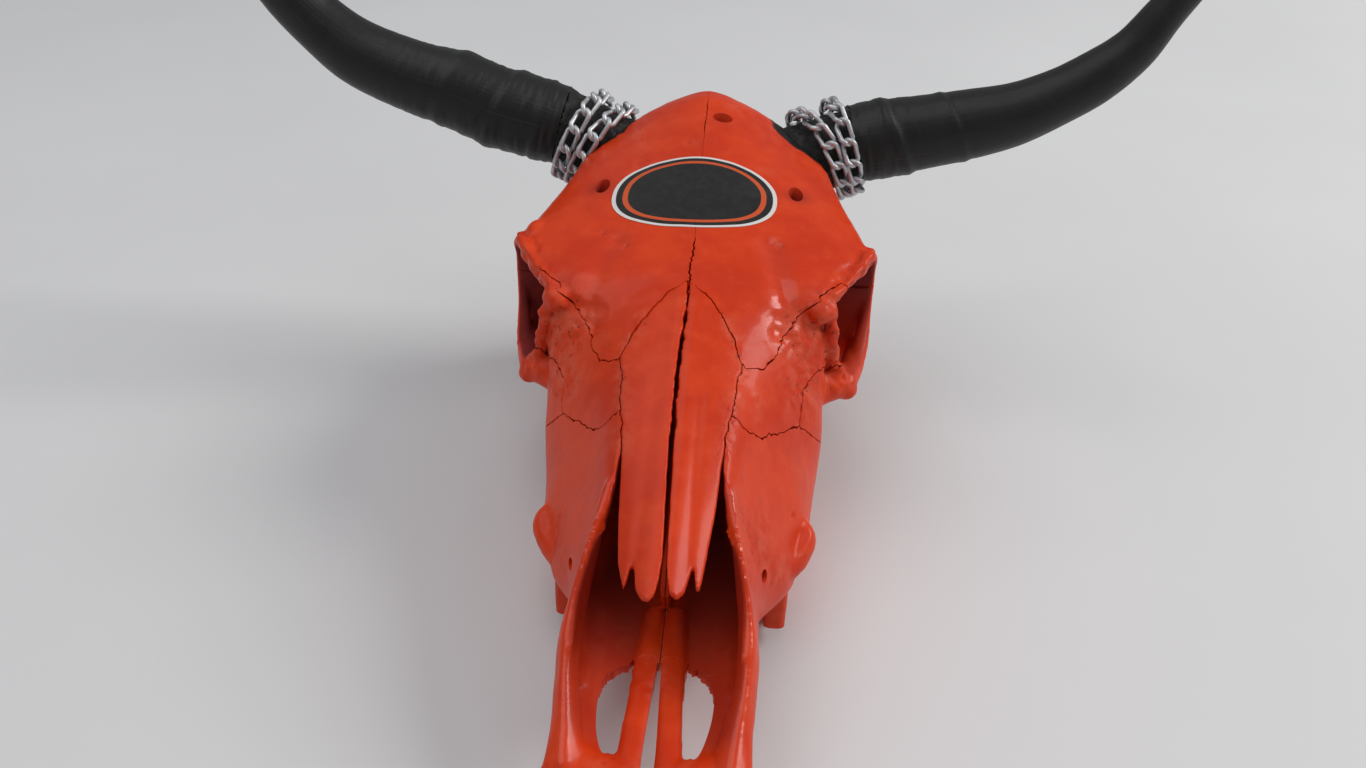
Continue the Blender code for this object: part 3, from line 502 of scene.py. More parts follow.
RAGGED_EDGE = [(106, 44, 167), (92, 14, 164), (84, -4, 158), (87, -8, 138), (91, -9, 118), (97, -4, 104)]
MUZZLE_CREST = [(31.5, -130, 120), (35, -150, 108.6), (39, -166, 97), (42, -179, 86.5), (44, -193, 77.5),
                (43, -211, 68), (40, -231, 59.5), (38, -248, 54)]


def roughness_at(points):
    """0 on smooth bone and 1 on the roughest, from how near a point is to the rough places."""
    x, y, z = np.abs(points[:, 0]), points[:, 1], points[:, 2]
    folded = np.column_stack([x, y, z])
    beside_eye = near_points(folded, [(80, -8, 146), (70, -34, 122), (66, -20, 146), (86, -12, 128)], 19)
    nose = 0.7 * near_path(folded, NASAL_SIDE, 5)
    nape_share = 0.8 * np.clip((y - 176) / 14, 0, 1) * np.clip((196 - z) / 20, 0, 1)
    below = 0.6 * np.clip((66 - z) / 26, 0, 1) * np.clip((y + 130) / 20, 0, 1)
    collar = 0.9 * near_points(folded, [(74, 186, 176)], 36)
    patches = 0.5 * np.clip(noise(points, 22, 5) * 2.2 - 0.9, 0, 1)
    return np.clip(np.max([beside_eye, nose, nape_share, below, collar, patches], axis=0), 0, 1)


def relief_at(points):
    """How far the surface stands out, in mm: slow swells, grooves, pits, and grain where it is rough."""
    rough = roughness_at(points)
    height = 0.35 * noise(points, 19, 1) + 0.16 * noise(points, 7, 2)
    height += rough * (1.0 * noise(points, 5.2, 3) + 0.65 * noise(points, 3.1, 4))
    height -= rough * 0.9 * np.clip(noise(points, 4.0, 6) - 0.35, 0, 1)
    folded = np.column_stack([np.abs(points[:, 0]), points[:, 1:]])
    height += near_path(folded, RAGGED_EDGE, 9) * (1.3 * noise(points, 6.5, 7) + 0.9 * noise(points, 3.4, 8))
    height += 1.1 * near_path(folded, MUZZLE_CREST, 3.2)
    for path, depth in BROW_GROOVE.values():
        height -= depth * near_path(points, path, 7)
    height -= 1.6 * near_points(points, PITS, 1.7)
    return height


deepest = np.array(BROW_GROOVE[1][0][2:3])
print("relief at the right brow groove:", round(float(relief_at(deepest)[0]), 2), "mm")

# %% [markdown]
# The whole skull is made first, as one solid. Its hollows are the nose, the throat and the spinal
# hole, the eye sockets and the ears. The thin muzzle bones and the eye rims come after the hollows,
# so that no carving cuts them.

# %% The skull in one piece
def opening_cutter():
    """Everything above the edge of the nose opening, whose line is drawn from the side."""
    edge = [(-100, 200), (-100, 139), (-108, 131.5), (-125, 124.5), (-138, 116), (-148, 108), (-156, 101),
            (-166, 92), (-176, 86), (-188, 80), (-204, 73), (-232, 66), (-290, 64), (-290, 200)]
    return skin("opening_cutter", [[(x, y, z) for y, z in edge] for x in (-70, 70)])


def slit_cutter():
    """The slits beside the nasal bones, which run into the nose opening."""
    edge = [(25.4, -106), (26.2, -111), (27.6, -127), (29.3, -139), (31.5, -147)]
    return skin("slits", [[(x, y, z) for x, y in edge + [(-x, y) for x, y in edge[::-1]]] for z in (84, 200)])


def skull_blank():
    base = tube("skull_base", [(0, 20, 70), (0, 80, 68), (0, 130, 68), (0, 184, 72)], [16, 18, 30, 44],
                [22, 20, 22, 28])
    big = [section_loft("face", FACE), forehead(), braincase(), nape(), base]
    bone = join("cranium_bone", big + both(side_bones))
    voxel_fuse(bone, VOXEL)
    choana = tube("choana", [(0, -10, 92), (0, 14, 76), (0, 34, 52), (0, 52, 24)], [30, 34, 32, 30],
                  [44, 40, 40, 40])
    spinal = tube("spinal_hole", [(0, 150, 96), (0, 176, 99), (0, 220, 103)], [30, 36, 40], [26, 32, 36])
    hollow = join("hollow", [section_loft("cavity", CAVITY), choana, spinal] + both(carvings))
    combine(bone, voxel_fuse(hollow, VOXEL))
    combine(bone, opening_cutter())
    combine(bone, slit_cutter())
    wall = tube("septum", [(0, -152, 62), (0, -118, 78), (0, -60, 92), (0, 4, 100)], [5, 6, 11, 16],
                [26, 58, 84, 84])
    bone = join("cranium_bone", [bone, wall] + both(muzzle_bones) + both(orbit_bones) + both(inner_bones))
    voxel_fuse(bone, VOXEL)
    relax(bone, 0.5, 6)
    points, normals = points_of(bone)
    set_points(bone, points + normals * relief_at(points)[:, None])
    return bone


bone = skull_blank()
print("skull blank:", len(bone.data.polygons), "faces")

# %% [markdown]
# The forehead carries a sticker. It is easiest to lay on while the forehead is still whole, so an
# unbroken copy of the blank is kept for that.

# %% Keep a copy of the whole forehead
whole_skull = copy_of(bone, "whole_skull")
print("kept", whole_skull.name)

# %% [markdown]
# The bones of a skull meet at sutures, thin lines that wander like a river. A cut along a straight
# line would look sawn. Each outline is walked in short even steps, and every point is pushed to one
# side by a slow and a quick random share. Pushing the flat outline along a direction gives a block,
# and the part of the skull inside the block is one bone.

# %% Blocks with wandering outlines
def jagged(outline, size, seed, step=1.9):
    """The outline in even steps, each point moved sideways by size * (0.9 slow + 0.55 quick)."""
    loop = np.vstack([outline, outline[:1]])
    way = np.r_[0, np.cumsum(np.linalg.norm(np.diff(loop, axis=0), axis=1))]
    at = np.linspace(0, way[-1], int(way[-1] / step), endpoint=False)
    flat = np.column_stack([np.interp(at, way, loop[:, k]) for k in (0, 1)])
    ahead = np.roll(flat, -1, 0) - np.roll(flat, 1, 0)
    ahead /= np.maximum(np.linalg.norm(ahead, axis=1), 1e-6)[:, None]
    rng = np.random.default_rng(seed)
    knots = np.arange(0, len(at) + 4, 4)
    slow = np.interp(np.arange(len(at)), knots, rng.uniform(-1, 1, len(at) // 4 + 2)[:len(knots)])
    sideways = size * (0.9 * slow + 0.55 * rng.uniform(-1, 1, len(at)))
    return flat + sideways[:, None] * np.column_stack([ahead[:, 1], -ahead[:, 0]])


def offset(outline, distance):
    """A flat outline moved outwards by a distance, with mitred corners."""
    p = np.asarray(outline, float)
    into, out = p - np.roll(p, 1, 0), np.roll(p, -1, 0) - p
    area = np.sum(p[:, 0] * np.roll(p, -1, 0)[:, 1] - np.roll(p, -1, 0)[:, 0] * p[:, 1])
    normals = [np.sign(area) * np.column_stack([e[:, 1], -e[:, 0]]) / np.linalg.norm(e, axis=1)[:, None]
               for e in (into, out)]
    turn = np.maximum(1 + np.sum(normals[0] * normals[1], axis=1), 0.4)[:, None]
    return p + distance * (normals[0] + normals[1]) / turn


def block(points, direction, low, high, grow=0.0, jag=0.0, seed=0, crumble=0.0):
    """A closed outline pushed along a direction, from low to high as measured from its middle.

    Crumble widens it at random, mostly a little and seldom by the whole amount."""
    points = np.asarray(points, float)
    ahead = np.asarray(direction, float) / np.linalg.norm(direction)
    across = np.cross(ahead, (0, 1, 0) if abs(ahead[1]) < 0.9 else (1, 0, 0))
    across /= np.linalg.norm(across)
    other = np.cross(ahead, across)
    middle = points.mean(axis=0)
    flat = np.column_stack([(points - middle) @ across, (points - middle) @ other])
    flat = jagged(flat, jag, seed) if jag else flat
    flat = offset(flat, grow + crumble * np.random.default_rng(seed + 1).uniform(0, 1, (len(flat), 1)) ** 3)
    plane = middle + flat[:, :1] * across + flat[:, 1:] * other
    return skin("block", [plane + ahead * (low - grow), plane + ahead * (high + grow)])


grown = offset([(0, 0), (10, 0), (10, 10), (0, 10)], 1)
print("a 10 mm square grown by 1 mm is", np.ptp(grown[:, 0]).round(1), "mm wide")

# %% [markdown]
# A cut along a wandering line leaves crumbs. To find them, each point gets a number and takes the
# lowest one among its neighbours until nothing changes. Then each loose part has one number, and all
# but the most common number can go.

# %% Dropping crumbs
def keep_largest(obj):
    """Drops crumbs: each point takes the lowest number among its neighbours until nothing changes."""
    mesh = obj.data
    edges = np.empty(2 * len(mesh.edges), int)
    mesh.edges.foreach_get("vertices", edges)
    edges = edges.reshape(-1, 2)
    label = np.arange(len(mesh.vertices))
    while True:
        lowest = label.copy()
        np.minimum.at(lowest, edges[:, 0], label[edges[:, 1]])
        np.minimum.at(lowest, edges[:, 1], label[edges[:, 0]])
        lowest = lowest[lowest]
        if (lowest == label).all():
            break
        label = lowest
    names, sizes = np.unique(label, return_counts=True)
    crumbs = np.flatnonzero(label != names[sizes.argmax()])
    if len(crumbs):
        work = bmesh.new()
        work.from_mesh(mesh)
        work.verts.ensure_lookup_table()
        bmesh.ops.delete(work, geom=[work.verts[k] for k in crumbs], context="VERTS")
        work.to_mesh(mesh)
        work.free()
    return obj


SEAM = 0.5
print("seams between bones:", SEAM, "mm")

# %% [markdown]
# The two nasal bones lie over the nose like long tiles. Each is a slab that bends down to its outer
# edge, with a low ridge beside the middle and a shallow groove, and it ends in a broad tip, a notch
# and a short prong. The slab is worked out as a height over X and Y, then cut to its outline.

# %% Nasal bones
NASAL_EDGE = [(0.8, -7), (11.5, -16.5), (22, -31), (30, -46), (33.5, -56), (31.5, -66), (30, -83), (28, -96),
              (25.5, -122), (24, -145)]
NASAL_TIPS = {
    -1: [(22.5, -161), (21.2, -172), (18.9, -180.5), (17, -187), (15.8, -184.5), (13.6, -172.5), (11.8, -183),
         (10.8, -189), (7.5, -194.6), (4.5, -196.5), (1.6, -193), (0.2, -185)],
    1: [(23, -153), (21.7, -164), (20.8, -172), (20, -179), (18.9, -184.5), (17.3, -185), (15.3, -172.5),
        (13.3, -183), (12, -188.5), (8.8, -193), (5.4, -191.5), (3.8, -184)],
}
NASAL_GAP = [(-175, 1.6, 1.1), (-166, 1.3, 1.1), (-142, 0.4, 1.2), (-115, -0.5, 1.3), (-98, -0.9, 1.3),
             (-74, -1.3, 1.1), (-51, -0.5, 0.9), (-35, 0.5, 0.7), (-16, 0.7, 0.6)]
NASAL_ARCH = [(-200, 18), (-150, 12), (-120, 8), (-90, 6.2), (-60, 5.6), (0, 4)]
NASAL_THICKNESS = [(-200, 3.0), (-100, 4.8)]
SLOT_HEADROOM = 6
MIDLINE = [(-200, -0.9), (-98, -0.9), (-74, -1.3), (-51, -0.5), (-35, 0.5), (-16, 0.7), (10, 0.8), (28, 1.6),
           (60, 0.4), (230, 0.4)]


def nasal_outline(sign):
    """The outline in plan. Its inner edge keeps half the gap from the middle, and only the free tip's
    edges hardly wander."""
    outer = [(sign * x, y) for x, y in NASAL_EDGE + NASAL_TIPS[sign]]
    flat = np.array(outer + [(middle + sign * half, y) for y, middle, half in NASAL_GAP], float)
    wander = jagged(flat, 0.7, 11 + sign, step=1.6)
    free = np.clip((-104 - wander[:, 1]) / 10, 0, 1)[:, None]
    still = jagged(flat, 0.12, 21 + sign, step=1.6)
    wander = wander * (1 - free) + still * free
    return np.column_stack([wander, np.zeros(len(wander))])


def nasal(name, sign, grow=0.0):
    """The slab's top is roof - arch * (x / 30)^2 + ridge - groove + swells.

    A slot, which is the slab grown a little, also clears what lies above it."""
    y, x = np.linspace(-200, 0, 120), np.linspace(-40, 40, 60)
    drop = smooth(NASAL_ARCH, y)[:, :1] * (x / 30) ** 2
    top = smooth(ROOF_LINE, y)[:, :1] - drop
    if not grow:
        inward = np.abs(x)[None]
        length = np.clip((-60 - y) / 40, 0, 1)[:, None]
        top = top + 0.5 * np.exp(-((inward - 4.5) / 3) ** 2)
        top = top - (0.9 if sign > 0 else 0.45) * length * np.exp(-((inward - 12.5) / 2.8) ** 2)
        grid = np.stack(np.broadcast_arrays(x[None], y[:, None], 0 * top), -1).reshape(-1, 3)
        top = top + 0.22 * noise(grid, 14, 31 + sign).reshape(top.shape)
    low = top - grow - np.interp(y, *np.array(NASAL_THICKNESS).T)[:, None]
    height = np.concatenate([top + (SLOT_HEADROOM if grow else 0), low[:, ::-1]], axis=1)
    around = np.broadcast_to(np.r_[x, x[::-1]], height.shape)
    slab = skin(name, np.stack([around, np.broadcast_to(y[:, None], height.shape), height], -1))
    piece = combine(slab, block(nasal_outline(sign), (0, 0, 1), 80, 220, grow), "INTERSECT")
    if not grow:
        relax(voxel_fuse(piece, 0.75), 0.5, 3)
    return piece


bones = [nasal(f"nasal_{side}_bone", sign) for side, sign in SIDES.items()]
print("nasal bones:", [len(piece.data.polygons) for piece in bones], "faces")

# %% [markdown]
# Now the openings: the slots that the nasals lie in, the long fissures of the muzzle, the gap between
# its tips, the holes for vessels and nerves, and the round beds of the horns. The last cutter takes
# away what lies below the floor. Each is a closed solid, and one Boolean after another cuts them out.

# %% Cutting the openings
ROOT = {"left": [(-56, 184, 167), (-78, 188, 177), (-107.5, 190, 188.9)],
        "right": [(56, 184, 167), (80, 188, 174), (107.5, 190, 184)]}
ROOT_THICKNESS, BED_GAP = 54, 0.3
FISSURE = [(13.5, -181), (16, -182.5), (19, -183), (22.5, -186), (26, -190), (28.5, -199), (28, -214),
           (25, -229), (21, -237), (17, -230), (14.5, -218), (13.5, -206)]
MUZZLE_GAP = [(-1.2, -182, 0), (-2.4, -206, 0), (-3.6, -232, 0), (-3.6, -290, 0), (2.8, -290, 0),
              (2.8, -232, 0), (1.8, -206, 0), (1, -182, 0)]
BROW_HOLE = [(64, 92, 192), (62, 91, 176)]
CHEEK_HOLE = [(58, -148, 74), (44, -134, 72)]
POLL_HOLE = [(13, 163, 214), (9, 161, 199)]
BELOW_FLOOR = [(-90, -290, 0), (90, -290, 0), (90, 240, 0), (-90, 240, 0)]


def fissure(sign):
    """The opening between the outer and the inner bar. Its back end is ragged where thin bone broke."""
    ring = closed_ring([(sign * x, y) for x, y in FISSURE], 72)
    ragged = np.clip((ring[:, 1] + 205) / 20, 0, 1)[:, None]
    ring = ring + ragged * 0.9 * np.random.default_rng(41 + sign).uniform(-1, 1, ring.shape)
    return block(np.column_stack([ring, np.zeros(72)]), (0, 0, 1), 20, 62)


def vessel_holes(sign):
    yield tube("brow_hole", at_side(sign, BROW_HOLE), [11, 8], [19, 13], up=(0, 1, 0), count=6)
    yield tube("cheek_hole", at_side(sign, CHEEK_HOLE), [8, 5], [9, 5], count=6)


def horn_root(name, side, grow=0.0, longer=0.0):
    thick = [ROOT_THICKNESS + 2 * grow] * 3
    path = np.asarray(ROOT[side], float)
    path[0] -= grow * (path[1] - path[0]) / np.linalg.norm(path[1] - path[0])
    path[2] += longer * (path[2] - path[1]) / np.linalg.norm(path[2] - path[1])
    return tube(name, path, thick, thick, count=8, around=64)


cutters = [nasal("slot", sign, SEAM) for sign in SIDES.values()] + [fissure(sign) for sign in SIDES.values()]
cutters += both(vessel_holes)
cutters.append(tube("poll_hole", POLL_HOLE, [16, 10], [13, 9], up=(0, 1, 0), count=6))
cutters.append(block(MUZZLE_GAP, (0, 0, 1), 20, 80))
cutters += [horn_root("bed", side, BED_GAP) for side in SIDES]
cutters.append(block(BELOW_FLOOR, (0, 0, 1), -30, 0))
for cutter in cutters:
    combine(bone, cutter)
print("after the openings:", len(bone.data.polygons), "faces")

# %% [markdown]
# The outlines of the other bones are points on the surface, or drawn from the side with X left at
# nought, or drawn from above with Z left at nought. The line between the two frontals is open at the
# front and nearly closed further up.

# %% Parting the bones
LACRIMAL = [(92, 8, 168), (84, 3, 167), (76.5, -1, 163), (62, -18, 152.5), (53.5, -38, 145.5),
            (47, -51.5, 141.5), (40.5, -55, 144.5), (31, -57.5, 149), (27, -89, 138), (40.5, -90, 127.7),
            (47, -84.5, 121.3), (57, -70, 114.5), (68.7, -54, 107), (69.2, -40, 121), (76.8, -25, 124.3),
            (90, -10.5, 125), (106, -4, 124), (104, 10, 150)]
ZYGOMATIC = [(0, -54, 107), (0, -40, 121), (0, -25, 124.5), (0, -8, 126), (0, 20, 124), (0, 30, 139),
             (0, 66, 141), (0, 68, 118), (0, 78, 108), (0, 62, 84), (0, 30, 76), (0, 0, 70), (0, -22, 74),
             (0, -42, 88)]
PREMAXILLA = [(0, -133, 96), (0, -150, 70), (0, -170, 56), (0, -188, 44), (0, -188, 20), (0, -290, 20),
              (0, -290, 130), (0, -133, 130)]
FRONTAL = [(0, -80, 126), (0, -52, 140), (0, -24, 148), (0, 4, 150), (0, 30, 141), (0, 64, 141), (0, 96, 156),
           (0, 150, 160), (0, 180, 170), (0, 225, 178), (0, 225, 240), (0, -80, 240)]
MAXILLA = [(0.15, -28, 0), (22, -24, 0), (27, 2, 0), (31, 16, 0), (44, 34, 0), (110, 34, 0), (110, -230, 0),
           (0.15, -230, 0)]
TEMPORAL = [(26, 112, 0), (46, 108, 0), (52, 92, 0), (72, 66, 0), (140, 66, 0), (140, 150, 0), (26, 150, 0)]
OCCIPITAL = [(0, 151, -5), (0, 151, 100), (0, 158, 130), (0, 166, 150), (0, 176, 190), (0, 240, 190),
             (0, 240, -5)]
FRONTAL_GAP = [(-80, 0.6), (20, 0.6), (27, 0.45), (31, 0.1), (140, 0.1), (147, 0.35), (175, 0.35), (182, 0.1),
               (230, 0.1)]


def carve_out(name, keep, drop):
    """The part of the skull inside one solid. The skull loses a slightly larger solid."""
    piece = combine(copy_of(bone, name), keep, "INTERSECT")
    combine(bone, drop)
    return keep_largest(piece)


def carve_block(name, *shape, jag=0.0, seed=0):
    drop = block(*shape, grow=SEAM, jag=jag, seed=seed, crumble=0.9 if jag else 0)
    return carve_out(name, block(*shape, jag=jag, seed=seed), drop)


def half_plan(sign, side_of_gap):
    """A block over the plan of one half. Its inner edge is the midline moved by half the gap."""
    y = np.arange(-80, 226, 1.7)
    line, gap = np.interp(y, *np.array(MIDLINE).T), np.interp(y, *np.array(FRONTAL_GAP).T)
    wander = np.random.default_rng(51).uniform(-0.7, 0.7, len(y)) * np.clip(gap / 0.4, 0.3, 1)
    inner = np.column_stack([line + wander + side_of_gap * gap, y])
    outer = [(sign * 140, 225), (sign * 140, -80)]
    flat = np.vstack([inner, outer])
    return block(np.column_stack([flat, np.zeros(len(flat))]), (0, 0, 1), 60, 260)


def frontal(side, sign):
    """The right one is parted first, and what the skull loses then takes the whole gap along."""
    shape = (FRONTAL, (sign, 0, 0), -4, 140)
    keep = combine(block(*shape, jag=0.8, seed=61), half_plan(sign, sign), "INTERSECT")
    drop = combine(block(*shape, grow=SEAM, jag=0.8, seed=61, crumble=0.9), half_plan(sign, -1), "INTERSECT")
    return carve_out(f"frontal_{side}_bone", keep, drop)


for side, sign in SIDES.items():
    shape = (at_side(sign, LACRIMAL), (sign * 0.70, -0.25, 0.67), -26, 30)
    bones.append(carve_block(f"lacrimal_{side}_bone", *shape, jag=1.2, seed=71 + sign))
    shape = (ZYGOMATIC, (sign, 0, 0), 62, 140)
    bones.append(carve_block(f"zygomatic_{side}_bone", *shape, jag=0.6, seed=81 + sign))
for side, sign in reversed(SIDES.items()):
    shape = (PREMAXILLA, (sign, 0, 0), 0.15, 90)
    bones.append(carve_out(f"premaxilla_{side}_bone", block(*shape), block(*shape, grow=0.15)))
    bones.append(frontal(side, sign))
    shape = (at_side(sign, TEMPORAL), (0, 0, 1), 24, 128)
    bones.append(carve_block(f"temporal_{side}_bone", *shape, jag=0.4, seed=91))
print(len(bones), "bones so far")

# %% [markdown]
# A cow's cheek tooth is a tall block of enamel folded into two lobes, worn flat below. Six stand in a
# row on each side, growing longer towards the back. They grow out of the upper jaw, so each is joined
# to it by a Boolean union with its root sunk in.

# %% Cheek teeth and upper jaws
TEETH = [(14, 14, 16), (17, 17, 6), (19, 19, 0), (25, 23, 0), (28, 24, 0), (30, 22, 0)]
TOOTH_ROW = [(-122, 60), (-100, 60), (-80, 59.5), (-50, 58.5), (-20, 56.5), (14, 52)]
TOOTH_LEVELS = [(40, 0.88), (28, 0.96), (20, 1.0), (12, 1.0), (6, 0.995), (2.5, 0.985), (1.0, 0.965),
                (0, 0.93)]
ROOT_END, WORN_PART, LEANS_BELOW = 40, 12, 30


def tooth(sign, front, length, width, low, rng):
    """Rings of a rounded box: sign(cos) |cos|^0.7, waisted between the lobes and fluted by cos(7 a)."""
    angle = np.linspace(0, 2 * math.pi, 56, endpoint=False)
    waist = 1 - 0.15 * np.cos(angle) ** 8 - 0.02 * np.cos(7 * angle)
    across = 0.5 * width * np.sign(np.cos(angle)) * np.abs(np.cos(angle)) ** 0.7 * waist
    along_row = 0.5 * (length - 1) * np.sign(np.sin(angle)) * np.abs(np.sin(angle)) ** 0.7
    y = front + length / 2
    x = smooth(TOOTH_ROW, [y])[0, 0]
    lean = rng.uniform(-0.6, 0.6, 2)
    rings = []
    for level, share in TOOTH_LEVELS:
        z = low + level * (ROOT_END - low) / ROOT_END if level < WORN_PART else level
        shift = lean * (LEANS_BELOW - z) / LEANS_BELOW
        worn = np.maximum(z + (0.7 * np.abs(np.sin(angle)) if level == 0 else 0), 0)
        sideways, lengthwise = sign * (x + shift[0] + share * across), y + shift[1] + share * along_row
        rings.append(np.column_stack([sideways, lengthwise, np.broadcast_to(worn, len(angle))]))
    return skin("tooth", rings)


rng = np.random.default_rng(7)
for side, sign in SIDES.items():
    maxilla = carve_block(f"maxilla_{side}_bone", at_side(sign, MAXILLA), (0, 0, 1), -5, 160)
    front = TOOTH_ROW[0][0]
    for length, width, low in TEETH:
        combine(maxilla, tooth(sign, front, length, width, low, rng), "UNION")
        front += length
    bones.append(maxilla)
bones.append(carve_block("occipital_bone", OCCIPITAL, (1, 0, 0), -130, 130, jag=0.5, seed=95))
bones.append(keep_largest(bone))
print("bones:", sorted(piece.name for piece in bones))

# %% [markdown]
# Shader sums are easier to read as Python than as rows of nodes. The small class below wraps an
# output socket, and each operator adds the Math node that works it out.

# %% Shader maths as expressions
class Value:
    """A number that changes over a surface, with plus, minus and times."""

    def __init__(self, recipe, socket):
        self.recipe, self.socket = recipe, socket

    def __add__(self, other):
        return self.recipe.maths("ADD", self, other)

    def __sub__(self, other):
        return self.recipe.maths("SUBTRACT", self, other)

    def __rsub__(self, other):
        return self.recipe.maths("SUBTRACT", other, self)

    def __mul__(self, other):
        return self.recipe.maths("MULTIPLY", self, other)

    __radd__, __rmul__ = __add__, __mul__


class Recipe:
    """One material and the nodes that make it."""

    def __init__(self, name, fixed):
        self.material = bpy.data.materials.new(name)
        self.material.use_nodes = True
        self.nodes, self.links = self.material.node_tree.nodes, self.material.node_tree.links
        self.shader = self.nodes["Principled BSDF"]
        for key, value in fixed.items():
            self.shader.inputs[key].default_value = value

    def node(self, kind, settings, sockets, output=0):
        """A node of a type: its settings first, then its sockets' values or links. Returns one output."""
        made = self.nodes.new(kind)
        for key, value in settings.items():
            setattr(made, key, value)
        for key, value in sockets.items():
            if isinstance(value, Value):
                self.links.new(value.socket, made.inputs[key])
            else:
                made.inputs[key].default_value = value
        return Value(self, made.outputs[output])

    def maths(self, operation, a, b):
        return self.node("ShaderNodeMath", {"operation": operation}, {0: a, 1: b})

    def noise(self, where, scale, detail=3.0, roughness=0.5):
        return self.node("ShaderNodeTexNoise", {}, {"Vector": where, "Scale": scale, "Detail": detail,
                                                    "Roughness": roughness})

    def step(self, value, low, high):
        """0 below low, 1 above high, and a soft step between them."""
        return self.node("ShaderNodeMapRange", {"interpolation_type": "SMOOTHSTEP"},
                         {"Value": value, "From Min": low, "From Max": high})

    def blend(self, share, a, b):
        """Colour a where the share is 0 and colour b where it is 1."""
        return self.node("ShaderNodeMix", {"data_type": "RGBA"}, {0: share, 6: a, 7: b}, 2)

    def attribute(self, name, output=2):
        return self.node("ShaderNodeAttribute", {"attribute_name": name}, {}, output)

    def place(self):
        return self.node("ShaderNodeTexCoord", {}, {}, 3)

    def finish(self, colour, roughness, height, **more):
        """Links colour and roughness, and a bump whose height is in millimetres."""
        bump = self.node("ShaderNodeBump", {}, {"Strength": 1.0, "Distance": MM, "Height": height})
        for key, value in {"Base Color": colour, "Roughness": roughness, "Normal": bump, **more}.items():
            self.links.new(value.socket, self.shader.inputs[key])
        return self.material


print("recipe ready")

# %% [markdown]
# The red is spray paint over bone: glossy, a little deeper where the coats are thin, with a fine
# orange peel, and dull and broken up where the bone is rough. Near the horns the black of their own
# paint was sprayed onto the red. Inside the sockets and the nose the red is darkened to maroon, partly
# for a thin coat and partly as painted shade, and in the brow grooves and on the crests of the muzzle
# the paint ran together and dried wet-looking. All four masks are kept in the meshes as attributes.

# %% Red spray paint
SOOT_EDGE = {"left": 30, "right": 36}


def red_paint():
    recipe = Recipe("red_spray_paint", {"Coat Roughness": 0.15, "Specular IOR Level": 0.22, "IOR": 1.45})
    where = recipe.place()
    rough, soot, inside, wet = [recipe.attribute(name) for name in ("rough", "soot", "inside", "wet")]
    broad = recipe.noise(where, 24, 4, 0.6)
    cloudy = recipe.noise(where, 95, 4, 0.6)
    grain = recipe.noise(where, 420, 3, 0.6)
    peel = recipe.noise(where, 900, 2)
    pits = recipe.step(recipe.noise(where, 300, 2), 0.60, 0.72) * rough
    red = recipe.blend(recipe.step(broad, 0.35, 0.68), (0.60, 0.032, 0.003, 1), (0.70, 0.048, 0.005, 1))
    red = recipe.blend(recipe.step(cloudy, 0.5, 0.75) * 0.35, red, (0.73, 0.070, 0.012, 1))
    red = recipe.blend(rough * recipe.step(cloudy, 0.38, 0.62) * 0.6, red, (0.66, 0.12, 0.065, 1))
    # Painted shade: the insides of the sockets, the nose and the small holes turn dark maroon, partly for a
    # thinner coat.
    red = recipe.blend(inside * (0.75 + cloudy * 0.3), red, (0.15, 0.016, 0.017, 1))
    red = recipe.blend(pits * 0.75, red, (0.16, 0.012, 0.006, 1))
    black = recipe.step(soot + (cloudy - 0.5) * 0.5 + (grain - 0.5) * 0.35, 0.45, 0.62)
    colour = recipe.blend(black, red, (0.014, 0.012, 0.011, 1))
    shine = 0.32 + cloudy * 0.16 + rough * 0.2 + black * 0.15 + inside * 0.4 - wet * 0.14
    height = peel * (0.035 + wet * 0.08) + cloudy * 0.25 + rough * (grain * 0.55 - pits * 0.35)
    return recipe.finish(colour, shine, height, **{"Coat Weight": 0.09 * (1 - inside) + wet * 0.45})


print("the red paint reads four masks")

# %% [markdown]
# Each mask is a function of the place: near the horns for the overspray, facing the middle of a
# hollow for the painted shade and thin coat inside, and along the grooves and crests for the wet
# look. Worked out here they follow the real shape, which a texture alone couldn't know.

# %% Masks for the paint
def set_attribute(mesh, name, values):
    """Keeps one number for each point of the mesh."""
    kept = mesh.attributes.new(name, "FLOAT", "POINT")
    kept.data.foreach_set("value", values.astype(np.float32))


def soot_at(points):
    """How black the overspray is: one half at a side's distance from its horn's root line, less beyond it."""
    share = np.zeros(len(points))
    for side, edge in SOOT_EDGE.items():
        path = np.asarray(ROOT[side], float)
        ahead = (path[-1] - path[0]) / np.linalg.norm(path[-1] - path[0])
        way = (points - path[0]) @ ahead
        away = np.linalg.norm(points - path[0] - way[:, None] * ahead, axis=1)
        share = np.maximum(share, np.clip((way + 14) / 10, 0, 1) * np.clip(0.5 + (edge - away) / 10, 0, 1))
    return share


def facing(points, normals, path, reach):
    """1 where the surface looks at the nearest point of a path and lies within reach of it."""
    path = np.asarray(path, float)
    steps = path[:-1, None] + np.linspace(0, 1, 12)[None, :, None] * (path[1:] - path[:-1])[:, None]
    towards = steps.reshape(-1, 3)[None] - points[:, None]
    away = np.linalg.norm(towards, axis=2)
    nearest = away.argmin(axis=1)
    every = np.arange(len(points))
    look = np.sum(towards[every, nearest] * normals, axis=1) / np.maximum(away[every, nearest], 0.1)
    return np.clip((reach - away[every, nearest]) / 4, 0, 1) * np.clip((look - 0.1) / 0.3, 0, 1)


